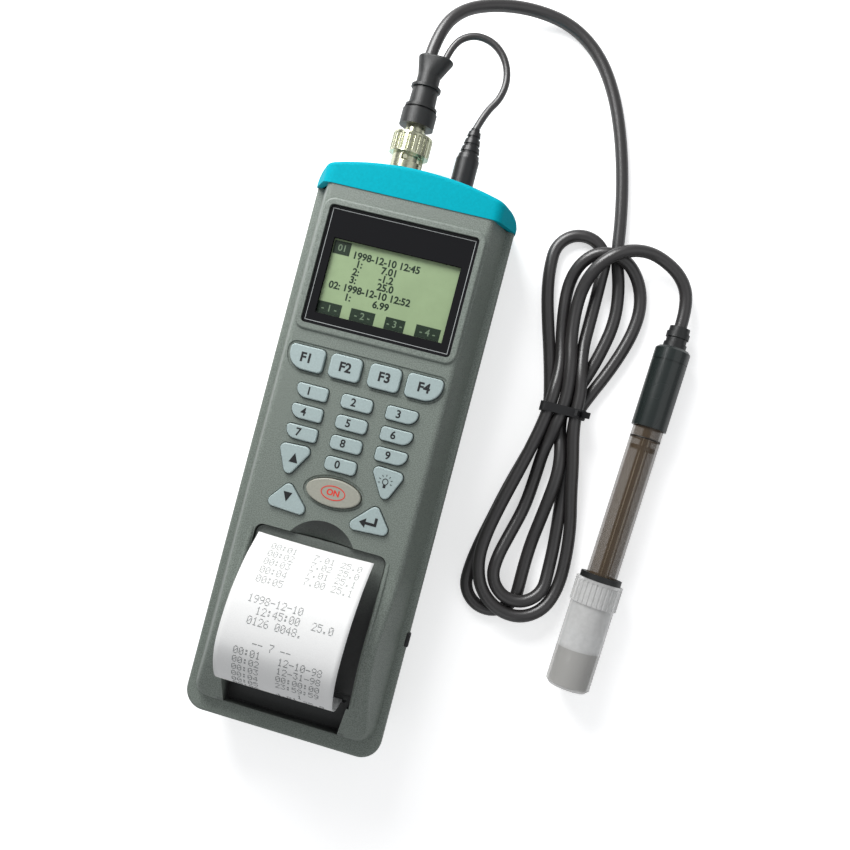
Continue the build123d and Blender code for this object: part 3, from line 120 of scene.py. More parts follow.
lastRun = [
    (74.0, 46, 8.3), (72.6, 56, 7.9), (70.2, 66, 6.2), (69.0, 77, 6.0), (69.4, 87, 7.6),
    (72.6, 95.4, 11.6), (79, 102, 12.7), (87.0, 105.6, 10.8), (95.4, 105.6, 7.6), (105.6, 100.0, 7.2),
    (110.63, 90.57, 6.49), (110.067, 80.185, 6.726),
]
probeCable = makeCord("probe_cable", feedRoute + firstTurn + secondTurn + thirdTurn + lastRun, 2.5)
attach(probeCable, "meter")
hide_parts("probe_cable_feed", "cable_hank", "probe_cable_end")

tempRoute = [
    (-4.2, 157.5, 22), (-3, 165, 21.6), (3.5, 170.2, 20.9), (11.5, 169.6, 20.2), (18, 164.4, 19.8),
    (21.2, 156.4, 19.9), (20.4, 148, 20.6), (16.2, 141.2, 21.6), (14.3, 133.8, 22),
]
tempCable = makeCord("temp_cable_line", tempRoute, 1.4)
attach(tempCable, "meter")
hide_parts("temp_cable")
say("cords")


# Materials: each has its own grain from object coordinates
def newMaterial(name, color, rough=0.5, metal=0.0, grain=900, vary=0.06, bump=0.05, speckle=0.0,
                coat=0.0, clear=0.0, seeThrough=1.0, roughVary=0.08, gloss=0.5):
    material = bpy.data.materials.new(name)
    material.use_nodes = True
    tree = material.node_tree
    shader = tree.nodes["Principled BSDF"]
    link = tree.links.new
    place = tree.nodes.new("ShaderNodeTexCoord")
    noise = tree.nodes.new("ShaderNodeTexNoise")
    noise.inputs["Scale"].default_value = grain
    noise.inputs["Detail"].default_value = 4
    link(place.outputs["Object"], noise.inputs["Vector"])
    tint = tree.nodes.new("ShaderNodeValToRGB")
    tint.name = "tint"
    low = [c * (1 - vary - speckle) for c in color]
    high = [min(1, c * (1 + vary + speckle / 2)) for c in color]
    tint.color_ramp.elements[0].position = 0.42 if speckle else 0.3
    tint.color_ramp.elements[0].color = (*low, 1)
    tint.color_ramp.elements[1].position = 0.56 if speckle else 0.7
    tint.color_ramp.elements[1].color = (*high, 1)
    link(noise.outputs["Fac"], tint.inputs["Fac"])
    link(tint.outputs["Color"], shader.inputs["Base Color"])
    broad = tree.nodes.new("ShaderNodeTexNoise")
    broad.inputs["Scale"].default_value = 60
    link(place.outputs["Object"], broad.inputs["Vector"])
    spread = tree.nodes.new("ShaderNodeMapRange")
    spread.inputs["To Min"].default_value = max(0.02, rough - roughVary)
    spread.inputs["To Max"].default_value = rough + roughVary
    link(broad.outputs["Fac"], spread.inputs["Value"])
    link(spread.outputs["Result"], shader.inputs["Roughness"])
    relief = tree.nodes.new("ShaderNodeBump")
    relief.inputs["Strength"].default_value = bump
    relief.inputs["Distance"].default_value = 0.0002
    link(noise.outputs["Fac"], relief.inputs["Height"])
    link(relief.outputs["Normal"], shader.inputs["Normal"])
    shader.inputs["Metallic"].default_value = metal
    shader.inputs["Specular IOR Level"].default_value = gloss
    shader.inputs["Coat Weight"].default_value = coat
    shader.inputs["Transmission Weight"].default_value = clear
    shader.inputs["Alpha"].default_value = seeThrough
    return material


looks = {
    "case_plastic": newMaterial(
        "casePlastic", (0.196, 0.226, 0.200), 0.38, grain=2600, speckle=0.20, bump=0.25,
    ),
    "cap_plastic": newMaterial("capPlastic", (0.0, 0.36, 0.45), 0.6, grain=1200, bump=0.1, gloss=0.06),
    "key_plastic": newMaterial("keyPlastic", (0.375, 0.46, 0.455), 0.42, grain=1400, bump=0.08),
    "onKey": newMaterial("onKeyPlastic", (0.36, 0.36, 0.305), 0.42, grain=1400, bump=0.08),
    "white_plastic": newMaterial("whitePlastic", (0.8, 0.8, 0.78), 0.45),
    "grey_plastic": newMaterial("greyPlastic", (0.22, 0.23, 0.24), 0.5),
    "board": newMaterial("boardMask", (0.04, 0.2, 0.08), 0.35),
    "pad_rubber": newMaterial("padRubber", (0.16, 0.17, 0.18), 0.7),
    "platen_rubber": newMaterial("platenRubber", (0.03, 0.03, 0.03), 0.75),
    "brass": newMaterial("brassGear", (0.78, 0.58, 0.26), 0.3, metal=1),
    "motor_steel": newMaterial("motorSteel", (0.5, 0.51, 0.52), 0.35, metal=1),
    "bar_steel": newMaterial("barSteel", (0.55, 0.56, 0.57), 0.3, metal=1),
    "contact_steel": newMaterial("contactSteel", (0.62, 0.63, 0.64), 0.3, metal=1),
    "screw_steel": newMaterial("screwSteel", (0.42, 0.43, 0.44), 0.35, metal=1),
    "cell_sleeve": newMaterial("cellSleeve", (0.1, 0.12, 0.16), 0.25),
    "nickel": newMaterial(
        "nickelPlate", (0.60, 0.61, 0.45), 0.22, metal=1, grain=700, vary=0.14, bump=0.08, roughVary=0.05,
    ),
    "black_rubber": newMaterial("blackRubber", (0.016, 0.017, 0.017), 0.40, grain=1300, bump=0.15),
    "black_plastic": newMaterial("blackPlastic", (0.014, 0.014, 0.015), 0.36, grain=1300, bump=0.12),
    "cable_jacket": newMaterial("cableJacket", (0.028, 0.026, 0.026), 0.36, grain=900, bump=0.1, gloss=0.9),
    "tie_plastic": newMaterial("tiePlastic", (0.01, 0.01, 0.011), 0.45),
    "head_plastic": newMaterial("headPlastic", (0.016, 0.022, 0.021), 0.25, grain=1100, coat=0.25, bump=0.05),
    "amber_shaft": newMaterial(
        "amberShaft", (0.125, 0.090, 0.058), 0.14, grain=300, bump=0.02, seeThrough=0.45,
    ),
    "stem_glass": newMaterial("stemGlass", (0.045, 0.03, 0.018), 0.25, grain=500),
    "bulb_glass": newMaterial("bulbGlass", (0.85, 0.88, 0.88), 0.05, clear=0.9, bump=0.0),
    "bottle_plastic": newMaterial(
        "bottlePlastic", (0.86, 0.86, 0.85), 0.34, grain=500, bump=0.05, seeThrough=0.5,
    ),
    "paper": newMaterial("paperFibre", (0.9, 0.9, 0.89), 0.75, grain=2600, vary=0.03, bump=0.1),
    "lcd_glass": newMaterial("lcdGlass", (0.36, 0.48, 0.27), 0.3, grain=200, vary=0.04, bump=0.0),
    "ink": newMaterial("legendInk", (0.012, 0.013, 0.014), 0.5),
    "lcdInk": newMaterial("lcdInk", (0.012, 0.03, 0.014), 0.4),
    "lcdLight": newMaterial("lcdLight", (0.20, 0.28, 0.18), 0.4),
    # Paler print for the strip's upper rows: print with a painted sheen where the paper turns away
    "paleInk": newMaterial("paleInk", (0.27, 0.28, 0.27), 0.6),
    "greyInk": newMaterial("greyInk", (0.16, 0.17, 0.17), 0.6),
    "red": newMaterial("redPrint", (0.72, 0.045, 0.03), 0.4),
    # A thin pale line round the window's edge: a painted highlight
    "windowEdgeHighlight": newMaterial("windowEdgeHighlight", (0.42, 0.44, 0.44), 0.5),
    # The paper cover's plastic is a darker grey than the case: painted shade for the bay under the strip
    "coverShadedPlastic": newMaterial("coverShadedPlastic", (0.15, 0.168, 0.152), 0.45, grain=2300, speckle=0.1, bump=0.2),
    "wire": newMaterial("innerWire", (0.01, 0.007, 0.005), 0.4),
    # Pale lines inside the shaft: painted highlights of the lamp on the shaft
    "wireLight": newMaterial("paintedShaftHighlight", (0.8, 0.7, 0.55), 0.3),
}


# One where a point lies in a box given in millimetres, nought elsewhere
def boxMask(tree, box):
    place = tree.nodes.new("ShaderNodeTexCoord")
    parts = tree.nodes.new("ShaderNodeSeparateXYZ")
    tree.links.new(place.outputs["Object"], parts.inputs[0])
    masks = []
    for axis, (low, high) in zip("XYZ", box):
        compare = tree.nodes.new("ShaderNodeMath")
        compare.operation = "COMPARE"
        tree.links.new(parts.outputs[axis], compare.inputs[0])
        compare.inputs[1].default_value = (low + high) / 2 * mm
        compare.inputs[2].default_value = (high - low) / 2 * mm
        masks.append(compare.outputs[0])
    return joined(tree, joined(tree, masks[0], masks[1]), masks[2])


def joined(tree, first, second, operation="MULTIPLY"):
    node = tree.nodes.new("ShaderNodeMath")
    node.operation = operation
    tree.links.new(first, node.inputs[0])
    tree.links.new(second, node.inputs[1])
    return node.outputs[0]


# A level that runs from one value to another along an axis, in millimetres
def fallOff(tree, axis, start, end, fromLevel, toLevel):
    place = tree.nodes.new("ShaderNodeTexCoord")
    parts = tree.nodes.new("ShaderNodeSeparateXYZ")
    tree.links.new(place.outputs["Object"], parts.inputs[0])
    run = tree.nodes.new("ShaderNodeMapRange")
    tree.links.new(parts.outputs[axis], run.inputs["Value"])
    run.inputs["From Min"].default_value = start * mm
    run.inputs["From Max"].default_value = end * mm
    run.inputs["To Min"].default_value = fromLevel
    run.inputs["To Max"].default_value = toLevel
    return run.outputs["Result"]


# The base colour goes over to a darker one where the mask is one
def darken(material, mask, dark):
    tree = material.node_tree
    mix = tree.nodes.new("ShaderNodeMix")
    mix.data_type = "RGBA"
    shader = tree.nodes["Principled BSDF"]
    source = shader.inputs["Base Color"].links[0].from_socket
    tree.links.new(source, mix.inputs[6])
    mix.inputs[7].default_value = (*dark, 1)
    tree.links.new(mask, mix.inputs[0])
    tree.links.new(mix.outputs[2], shader.inputs["Base Color"])


# Painted shade: the scoop for the thumb and the trench are darkened inside where shade falls, the scoop
# darkest at its upper wall
scoopShadeSet = {
    "middle": (0, -40.165, 57.963), "reach": 23.1, "fade": (-26.0, -33.0, 0.97, 0.55),
    "dark": (0.020, 0.022, 0.022),
}
casePlastic = looks["case_plastic"]
tree = casePlastic.node_tree
place = tree.nodes.new("ShaderNodeTexCoord")
gap = tree.nodes.new("ShaderNodeVectorMath")
gap.operation = "DISTANCE"
tree.links.new(place.outputs["Object"], gap.inputs[0])
gap.inputs[1].default_value = Vector(scoopShadeSet["middle"]) * mm
inside = tree.nodes.new("ShaderNodeMath")
inside.operation = "LESS_THAN"
tree.links.new(gap.outputs["Value"], inside.inputs[0])
inside.inputs[1].default_value = scoopShadeSet["reach"] * mm
fade = fallOff(tree, "Y", *scoopShadeSet["fade"])
darken(casePlastic, joined(tree, inside.outputs[0], fade), scoopShadeSet["dark"])
# Painted shade in the trench, deepening towards its floor
trenchShadeSet = {
    "box": ((-25.3, 25.3), (-103.5, -88.0), (22.5, 31.5)), "fade": (33.0, 27.5, 0.0, 0.93),
    "dark": (0.018, 0.018, 0.019),
}
trenchShadeMask = joined(tree, boxMask(tree, trenchShadeSet["box"]), fallOff(tree, "Z", *trenchShadeSet["fade"]))
darken(casePlastic, trenchShadeMask, trenchShadeSet["dark"])
# Painted shade on the bay's inner walls, deepening towards the trench
bayWallShadeSet = {
    "box": ((-25.5, 25.5), (-90.1, -34.0), (20.0, 45.0)), "fade": (-40.0, -75.0, 0.25, 0.9),
    "dark": (0.03, 0.03, 0.032),
}
wallShadeMask = joined(tree, boxMask(tree, bayWallShadeSet["box"]), fallOff(tree, "Y", *bayWallShadeSet["fade"]))
darken(casePlastic, wallShadeMask, bayWallShadeSet["dark"])

# Painted shade on the paper cover under the strip, deepening towards its hinge
coverShadeSet = {"fade": (-36.0, -58.0, 0.0, 0.88), "dark": (0.03, 0.029, 0.031)}
coverLook = looks["coverShadedPlastic"]
darken(coverLook, fallOff(coverLook.node_tree, "Y", *coverShadeSet["fade"]), coverShadeSet["dark"])

# The storage liquid shows through the bottle's wall as a darker foot
bottleSet = {"wet": ((80, 125), (-90, -50.4), (-5, 25)), "dark": (0.62, 0.61, 0.585)}
bottleLook = looks["bottle_plastic"]
darken(bottleLook, boxMask(bottleLook.node_tree, bottleSet["wet"]), bottleSet["dark"])

# The window is a dark mask with a clear field over the display
windowSet = {"field": ((-24.5, 24.5), (48.7, 77.5), (30, 45)), "clear": 0.05}
windowLook = newMaterial("windowGlass", (0.004, 0.004, 0.005), 0.12, bump=0.0, vary=0.02, roughVary=0.03)
tree = windowLook.node_tree
opacity = tree.nodes.new("ShaderNodeMapRange")
opacity.inputs["To Min"].default_value = 1.0
opacity.inputs["To Max"].default_value = windowSet["clear"]
tree.links.new(boxMask(tree, windowSet["field"]), opacity.inputs["Value"])
tree.links.new(opacity.outputs["Result"], tree.nodes["Principled BSDF"].inputs["Alpha"])
looks["window"] = windowLook

ownLooks = {"paper_cover": coverLook, "key_on": looks["onKey"]}
slotOf = {entry["node"]: entry["material_slot"] for entry in frame["record"]["subparts"]}
for nodeName, nodeObject in nodes.items():
    look = ownLooks.get(nodeName, looks[slotOf[nodeName]])
    if not nodeObject.material_slots:
        nodeObject.data.materials.append(look)
    for materialSlot in nodeObject.material_slots:
        materialSlot.link = "OBJECT"
        materialSlot.material = look
for cordObject in (probeCable, tempCable):
    cordObject.data.materials.append(looks["cable_jacket"])
say("materials")


# New pieces: a mesh from bmesh, or text, on its body
def addPiece(name, data, look, body):
    piece = bpy.data.objects.new(name, data)
    bpy.context.collection.objects.link(piece)
    piece.data.materials.append(look)
    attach(piece, body)
    return piece


def meshFrom(bm, name, smooth=True):
    bmesh.ops.recalc_face_normals(bm, faces=bm.faces)
    for face in bm.faces:
        face.smooth = smooth
    mesh = bpy.data.meshes.new(name)
    bm.to_mesh(mesh)
    bm.free()
    return mesh


# The outline of a text as a thin mesh, in millimetres; bold grows its strokes
def textMesh(words, size, thick=0.06, bold=0.0, align="CENTER", width=1.0):
    text = bpy.data.curves.new("text", "FONT")
    text.body = words
    text.size = size
    text.extrude = thick / 2
    text.offset = bold
    text.align_x = align
    text.align_y = "CENTER"
    text.resolution_u = 4  # smooth enough at this size
    holder = bpy.data.objects.new("text", text)
    bpy.context.collection.objects.link(holder)
    mesh = bpy.data.meshes.new_from_object(holder)
    mesh.transform(Matrix.Diagonal((width, 1, 1, 1)))
    bpy.data.objects.remove(holder)
    return mesh


def flatPiece(name, mesh, place, look, body):
    mesh.transform(Matrix.Scale(mm, 4) @ Matrix.Translation(Vector(place)))
    return addPiece(name, mesh, look, body)


# A flat plate with a given outline in millimetres; with a line width only its rim is kept
def plateMesh(outline, thick, name, line=0.0):
    bm = bmesh.new()
    plateInto(bm, outline, thick, line)
    return meshFrom(bm, name, smooth=False)


def plateInto(bm, outline, thick, line=0.0):
    face = bm.faces.new([bm.verts.new((x, y, 0)) for x, y in outline])
    base = [face]
    if line:
        face.normal_update()
        kept = set(bm.faces)
        bmesh.ops.inset_individual(bm, faces=[face], thickness=line)
        base = [rim for rim in bm.faces if rim not in kept]
        bmesh.ops.delete(bm, geom=[face], context="FACES_ONLY")
    lifted = bmesh.ops.extrude_face_region(bm, geom=base, use_keep_orig=True)
    raised = [v for v in lifted["geom"] if isinstance(v, bmesh.types.BMVert)]
    bmesh.ops.translate(bm, verts=raised, vec=(0, 0, thick))


def ellipse(halfX, halfY, count=40):
    return [(halfX * cos(2 * pi * i / count), halfY * sin(2 * pi * i / count)) for i in range(count)]


def box(halfX, halfY, x=0.0, y=0.0):
    return [(x - halfX, y - halfY), (x + halfX, y - halfY), (x + halfX, y + halfY), (x - halfX, y + halfY)]


# Legends on the keys
keySet = {
    "top": 41.31, "thick": 0.06, "bold": 0.16,
    "digit": 4.1, "digitBold": 0.09, "digitShift": -1.2, "digitStep": 17.3, "digitRows": (19.3, 11.4, 3.7),
    "zero": (0, -4.3), "row": 4.9, "rowStep": 15.1, "rowY": 31.0,
    "on": 3.1, "onBold": 0.11, "onPlace": (0, -14.7), "ring": (4.7, 2.7), "ringLine": 0.36,
}


def legend(name, mesh, x, y, look="ink"):
    flatPiece(f"legend_{name}", mesh, (x, y, keySet["top"]), looks[look], f"key_{name}")


digitPlaces = {"0": keySet["zero"]}
for row, rowY in enumerate(keySet["digitRows"]):
    for column in (-1, 0, 1):
        digitPlaces[str(3 * row + column + 2)] = (keySet["digitStep"] * column, rowY)
for digit, (x, y) in digitPlaces.items():
    figure = textMesh(digit, keySet["digit"], bold=keySet["digitBold"])
    legend(digit, figure, x + keySet["digitShift"], y)
for number in range(4):
    letters = textMesh(f"F{number + 1}", keySet["row"], bold=keySet["bold"])
    legend(f"f{number + 1}", letters, (number - 1.5) * keySet["rowStep"], keySet["rowY"])
arrowHead = [(-1.7, -1.6), (1.7, -1.6), (0, 2.0)]
legend("up", plateMesh(arrowHead, keySet["thick"], "up"), -17.5, -6.0)
arrowDown = [(x, -y) for x, y in reversed(arrowHead)]
legend("down", plateMesh(arrowDown, keySet["thick"], "down"), -16.4, -20.2)
arrowBent = [
    (-3.6, -0.5), (-1.2, -2.3), (-1.2, -1.0), (3.0, -1.0), (3.0, 2.2), (2.0, 2.2), (2.0, 0.0),
    (-1.2, 0.0), (-1.2, 1.3),
]
legend("enter", plateMesh(arrowBent, keySet["thick"], "enter"), 15.6, -21.6)
# A lamp with rays on the light key
bulbSet = {"lift": 0.5, "half": (1.15, 1.25), "line": 0.3, "foot": (0.5, 0.55), "footY": -1.25,
           "rays": 7, "firstRay": -15, "rayStep": 35, "rayMiddle": 2.35, "rayHalf": (0.35, 0.13)}
bm = bmesh.new()
glassLine = [(x, y + bulbSet["lift"]) for x, y in ellipse(*bulbSet["half"], 24)]
plateInto(bm, glassLine, keySet["thick"], bulbSet["line"])
plateInto(bm, box(*bulbSet["foot"], y=bulbSet["footY"]), keySet["thick"])
for step in range(bulbSet["rays"]):
    angle = radians(bulbSet["firstRay"] + bulbSet["rayStep"] * step)
    turned = [
        (x * cos(angle) - y * sin(angle), x * sin(angle) + y * cos(angle) + bulbSet["lift"])
        for x, y in box(*bulbSet["rayHalf"], x=bulbSet["rayMiddle"])
    ]
    plateInto(bm, turned, keySet["thick"])
legend("light", meshFrom(bm, "light", smooth=False), 17.7, -6.2)
legend("on", textMesh("ON", keySet["on"], bold=keySet["onBold"]), *keySet["onPlace"], "red")
ring = plateMesh(ellipse(*keySet["ring"]), keySet["thick"], "ring", keySet["ringLine"])
flatPiece("on_ring", ring, (*keySet["onPlace"], keySet["top"]), looks["red"], "key_on")
say("legends")

# Display: rows of figures on the glass, blocks over the soft keys, and a thin pale line round the window, a
# painted highlight on its edge
lcdSet = {
    "top": 37.76, "size": 3.75, "thick": 0.04, "bold": 0.12, "width": 0.98,
    "block": 0.03, "mark": (3.3, 2.5), "markSize": 3.5, "barHalf": 2.3, "barY": 51.2, "barSize": 3.6,
    "small": 0.02, "smallBold": 0.03, "lift": 0.035,
}
lcdRows = [
    (-16.4, 72.8, "1998-12-10 12:45"), (-14.4, 69.8, "1:"), (-4.4, 69.6, "7.01"), (-14.9, 66.7, "2:"),
    (-4.6, 66.5, "-1.2"), (-15.2, 63.6, "3:"), (-4.4, 63.4, "25.0"),
    (-22.4, 60.1, "02: 1998-12-10 12:52"), (-15.5, 56.8, "1:"), (-4.4, 56.6, "6.99"),
]
lcdBars = [(-19.9, 4.6), (-7.0, 4.7), (5.6, 3.8), (18.3, 4.7)]  # middle, half width


def onGlass(name, mesh, x, y, look="lcdInk", lift=0.0):
    flatPiece(name, mesh, (x, y, lcdSet["top"] + lift), looks[look], "meter")


for number, (x, y, words) in enumerate(lcdRows):
    row = textMesh(words, lcdSet["size"], lcdSet["thick"], lcdSet["bold"], "LEFT", lcdSet["width"])
    onGlass(f"lcd_figures_{number}", row, x, y)
onGlass("lcd_mark", plateMesh(box(*lcdSet["mark"]), lcdSet["block"], "mark"), -21.0, 74.4)
markFigures = textMesh("01", lcdSet["markSize"], lcdSet["small"], lcdSet["smallBold"])
onGlass("lcd_mark_figures", markFigures, -20.8, 74.3, "lcdLight", lcdSet["lift"])
for number, (x, halfWidth) in enumerate(lcdBars):
    bar = plateMesh(box(halfWidth, lcdSet["barHalf"]), lcdSet["block"], "bar")
    onGlass(f"lcd_bar_{number}", bar, x, lcdSet["barY"])
    figures = textMesh(f"- {number + 1} -", lcdSet["barSize"], lcdSet["small"], lcdSet["smallBold"])
    onGlass(f"lcd_bar_figures_{number}", figures, x, lcdSet["barY"], "lcdLight", lcdSet["lift"])
# Painted highlight along the window's edge
edgeSet = {"half": (27.6, 21.5), "thick": 0.03, "line": 0.3, "place": (0, 66.65, 39.4)}
edgeLine = plateMesh(box(*edgeSet["half"]), edgeSet["thick"], "window_edge_highlight", edgeSet["line"])
flatPiece("window_edge_highlight", edgeLine, edgeSet["place"], looks["windowEdgeHighlight"], "meter")
say("display")

# Printed strip: a sheet over the arch, with its rows of dots laid on it
stripSet = {"halfWidth": 22.25, "offset": -0.8, "thick": 0.24, "rows": 96, "columns": 24, "curl": 0.5}
archPoints = [
    (-89.3, 29.5), (-89.3, 31.5), (-90.3, 44.0), (-86.0, 54.0), (-74.0, 62.0), (-58.0, 60.5),
    (-45.0, 52.5), (-35.8, 41.8),
]


def catmull(points, steps):
    smooth = []
    for i in range(len(points) - 1):
        a, b = points[max(i - 1, 0)], points[i]
        c, d = points[i + 1], points[min(i + 2, len(points) - 1)]
        for step in range(steps):
            t = step / steps
            smooth.append(tuple(
                0.5 * (2 * b[k] + (c[k] - a[k]) * t + (2 * a[k] - 5 * b[k] + 4 * c[k] - d[k]) * t * t
                       + (3 * b[k] - a[k] - 3 * c[k] + d[k]) * t ** 3)
                for k in (0, 1)
            ))
    return smooth + [points[-1]]


archLine = catmull(archPoints, 10)
archLengths = [0.0]
for (y0, z0), (y1, z1) in zip(archLine, archLine[1:]):
    archLengths.append(archLengths[-1] + hypot(y1 - y0, z1 - z0))
stripLength = archLengths[-1]


# The place on the arch at a length along it, and the direction out of its printed face
def onArch(s):
    s = min(max(s, 0.0), stripLength)
    i = max(k for k in range(len(archLengths) - 1) if archLengths[k] <= s)
    t = (s - archLengths[i]) / (archLengths[i + 1] - archLengths[i])
    y = archLine[i][0] * (1 - t) + archLine[i + 1][0] * t
    z = archLine[i][1] * (1 - t) + archLine[i + 1][1] * t
    ahead, back = archLine[min(i + 2, len(archLine) - 1)], archLine[max(i - 1, 0)]
    run = Vector((0, ahead[0] - back[0], ahead[1] - back[1])).normalized()
    return Vector((0, y, z)), Vector((0, -run.z, run.y))


# A point of the sheet: across it, along it and off its face; the free end curls a little
def onStrip(x, s, off=0.0):
    place, out = onArch(s)
    curl = stripSet["curl"] * (x / stripSet["halfWidth"]) ** 2 * max(0.0, 2 * s / stripLength - 1) ** 2
    return (place + out * (curl + off) + Vector((x + stripSet["offset"], 0, 0))) * mm


bm = bmesh.new()
bmesh.ops.create_grid(bm, x_segments=stripSet["columns"], y_segments=stripSet["rows"], size=1.0)
for vert in bm.verts:
    vert.co = onStrip(vert.co.x * stripSet["halfWidth"], (vert.co.y + 1) / 2 * stripLength)
bmesh.ops.solidify(bm, geom=bm.faces[:], thickness=stripSet["thick"] * mm)
strip = addPiece("printed_strip", meshFrom(bm, "printed_strip"), looks["paper"], "paper_cover")
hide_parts("paper_strip")

# Dots of each printed figure, seven rows of five from the top
dotFont = {
    "0": "0E 11 13 15 19 11 0E", "1": "04 0C 04 04 04 04 0E", "2": "0E 11 01 02 04 08 1F",
    "3": "1F 02 04 02 01 11 0E", "4": "02 06 0A 12 1F 02 02", "5": "1F 10 1E 01 01 11 0E",
    "6": "06 08 10 1E 11 11 0E", "7": "1F 01 02 04 08 08 08", "8": "0E 11 11 0E 11 11 0E",
    "9": "0E 11 11 0F 01 02 0C", "-": "00 00 00 1F 00 00 00", ".": "00 00 00 00 00 0C 0C",
    ":": "00 0C 0C 00 0C 0C 00", " ": "00 00 00 00 00 00 00",
}
printSet = {
    "pitchX": 0.34, "pitchY": 0.42, "letter": 2.05, "dotX": 0.15, "dotY": 0.14, "dotLift": 0.02,
    "dotThick": 0.03, "rowPitch": 3.75, "left": -15.2, "first": 3.4, "lowest": 6,
}
# The upper rows are print with a painted sheen where the paper turns away; the lower rows are the print's own
# grey
printRows = [
    ("paleInk", "00:01   7.01 25.0"), ("paleInk", "00:02   7.02 25.0"), ("paleInk", "00:03   7.01 25.1"),
    ("paleInk", "00:04   7.00 25.1"), ("paleInk", "00:05"), ("paleInk", ""), ("greyInk", "1998-12-10"),
    ("greyInk", "  12:45:00  25.0"), ("greyInk", " 0126 0048."), ("greyInk", ""), ("greyInk", "   -- 7 --"),
    ("greyInk", "00:01   12-10-98"), ("greyInk", "00:02   12-31-98"), ("greyInk", "00:03   00:00:00"),
    ("greyInk", "00:04   23:59:59"), ("greyInk", "00:05       1"), ("greyInk", "00:06   4.01 25.0"),
    ("greyInk", "00:07   4.01 25.0"),
]


# One dot of the print, laid on the sheet
def printDot(bm, x, s):
    for vert in bmesh.ops.create_cube(bm, size=1.0)["verts"]:
        across, along, off = vert.co
        vert.co = onStrip(
            x + 2 * across * printSet["dotX"], s + 2 * along * printSet["dotY"],
            printSet["dotLift"] + printSet["dotThick"] * off,
        )


def printRow(bm, words, base):
    for place, letter in enumerate(words):
        for down, line in enumerate(dotFont[letter].split()):
            for across in range(5):
                if int(line, 16) >> (4 - across) & 1:
                    x = printSet["left"] + place * printSet["letter"] + across * printSet["pitchX"]
                    printDot(bm, x, base - down * printSet["pitchY"])


for look, name in (("paleInk", "strip_print_paled_by_sheen"), ("greyInk", "strip_print_dark")):
    dots = bmesh.new()
    for number, (rowLook, words) in enumerate(printRows):
        base = stripLength - printSet["first"] - number * printSet["rowPitch"]
        if rowLook == look and base >= printSet["lowest"]:
            printRow(dots, words, base)
    addPiece(name, meshFrom(dots, name, smooth=False), looks[look], "paper_cover")
say("paper")

# Liquid in the storage bottle, and in the shaft a dark wire with two pale lines that are painted highlights,
# all about the electrode's axis
probeTop = Vector((109.6, 71.6, 6.92))
probeWay = Vector((-0.05435, -0.99827, 0.02251)).normalized()
probeSide = probeWay.cross(Vector((0, 0, 1))).normalized()
probeUp = probeSide.cross(probeWay).normalized()


def turnedMesh(profile, name, steps=48, off=(0, 0)):
    bm = bmesh.new()
    middle = probeTop + probeSide * off[0] + probeUp * off[1]
    verts = [bm.verts.new((middle + probeWay * s + probeSide * r) * mm) for s, r in profile]
    edges = [bm.edges.new(pair) for pair in zip(verts, verts[1:])]
    bmesh.ops.spin(
        bm, geom=verts + edges, cent=middle * mm, axis=probeWay, angle=2 * pi, steps=steps, use_merge=True,
    )
    bmesh.ops.remove_doubles(bm, verts=bm.verts, dist=1e-6)
    return meshFrom(bm, name)


looks["liquid"] = newMaterial(
    "storageLiquid", (0.10, 0.10, 0.095), 0.08, grain=200, bump=0.0, seeThrough=0.8,
)
liquidSet = {"level": 123.0, "radius": 7.5, "corner": 0.7, "end": 136.6}
liquidProfile = [
    (liquidSet["level"], 0), (liquidSet["level"], liquidSet["radius"]),
    (liquidSet["end"] - liquidSet["corner"], liquidSet["radius"]),
    (liquidSet["end"], liquidSet["radius"] - liquidSet["corner"]), (liquidSet["end"], 0),
]
liquid = turnedMesh(liquidProfile, "storage_liquid")
addPiece("storage_liquid", liquid, looks["liquid"], "storage_bottle")
wireAndHighlightSet = {  # aside and above the axis, radius, look
    "start": 36.5, "end": 112.0,
    "wiresAndHighlights": ((-2.0, 3.6, 0.3, "wire"), (0.9, 3.9, 0.22, "wireLight"), (-1.2, 3.9, 0.2, "wireLight")),
}
# The two pale lines are painted highlights; the dark one is a wire inside the shaft
for number, (aside, above, radius, look) in enumerate(wireAndHighlightSet["wiresAndHighlights"]):
    name = f"shaft_wire_and_highlight_{number}"
    profile = [
        (wireAndHighlightSet["start"], 0), (wireAndHighlightSet["start"], radius), (wireAndHighlightSet["end"], radius), (wireAndHighlightSet["end"], 0),
    ]
    wire = turnedMesh(profile, name, 12, (aside, above))
    addPiece(name, wire, looks[look], "meter")
seamSet = {"at": 36.6, "wide": 0.6, "radius": 6.03, "inner": 5.5}
seamEnd = seamSet["at"] + seamSet["wide"]
seamProfile = [
    (seamSet["at"], seamSet["inner"]), (seamSet["at"], seamSet["radius"]), (seamEnd, seamSet["radius"]),
    (seamEnd, seamSet["inner"]), (seamSet["at"], seamSet["inner"]),
]
addPiece("shaft_seam", turnedMesh(seamProfile, "shaft_seam"), looks["wire"], "meter")
say("electrode")

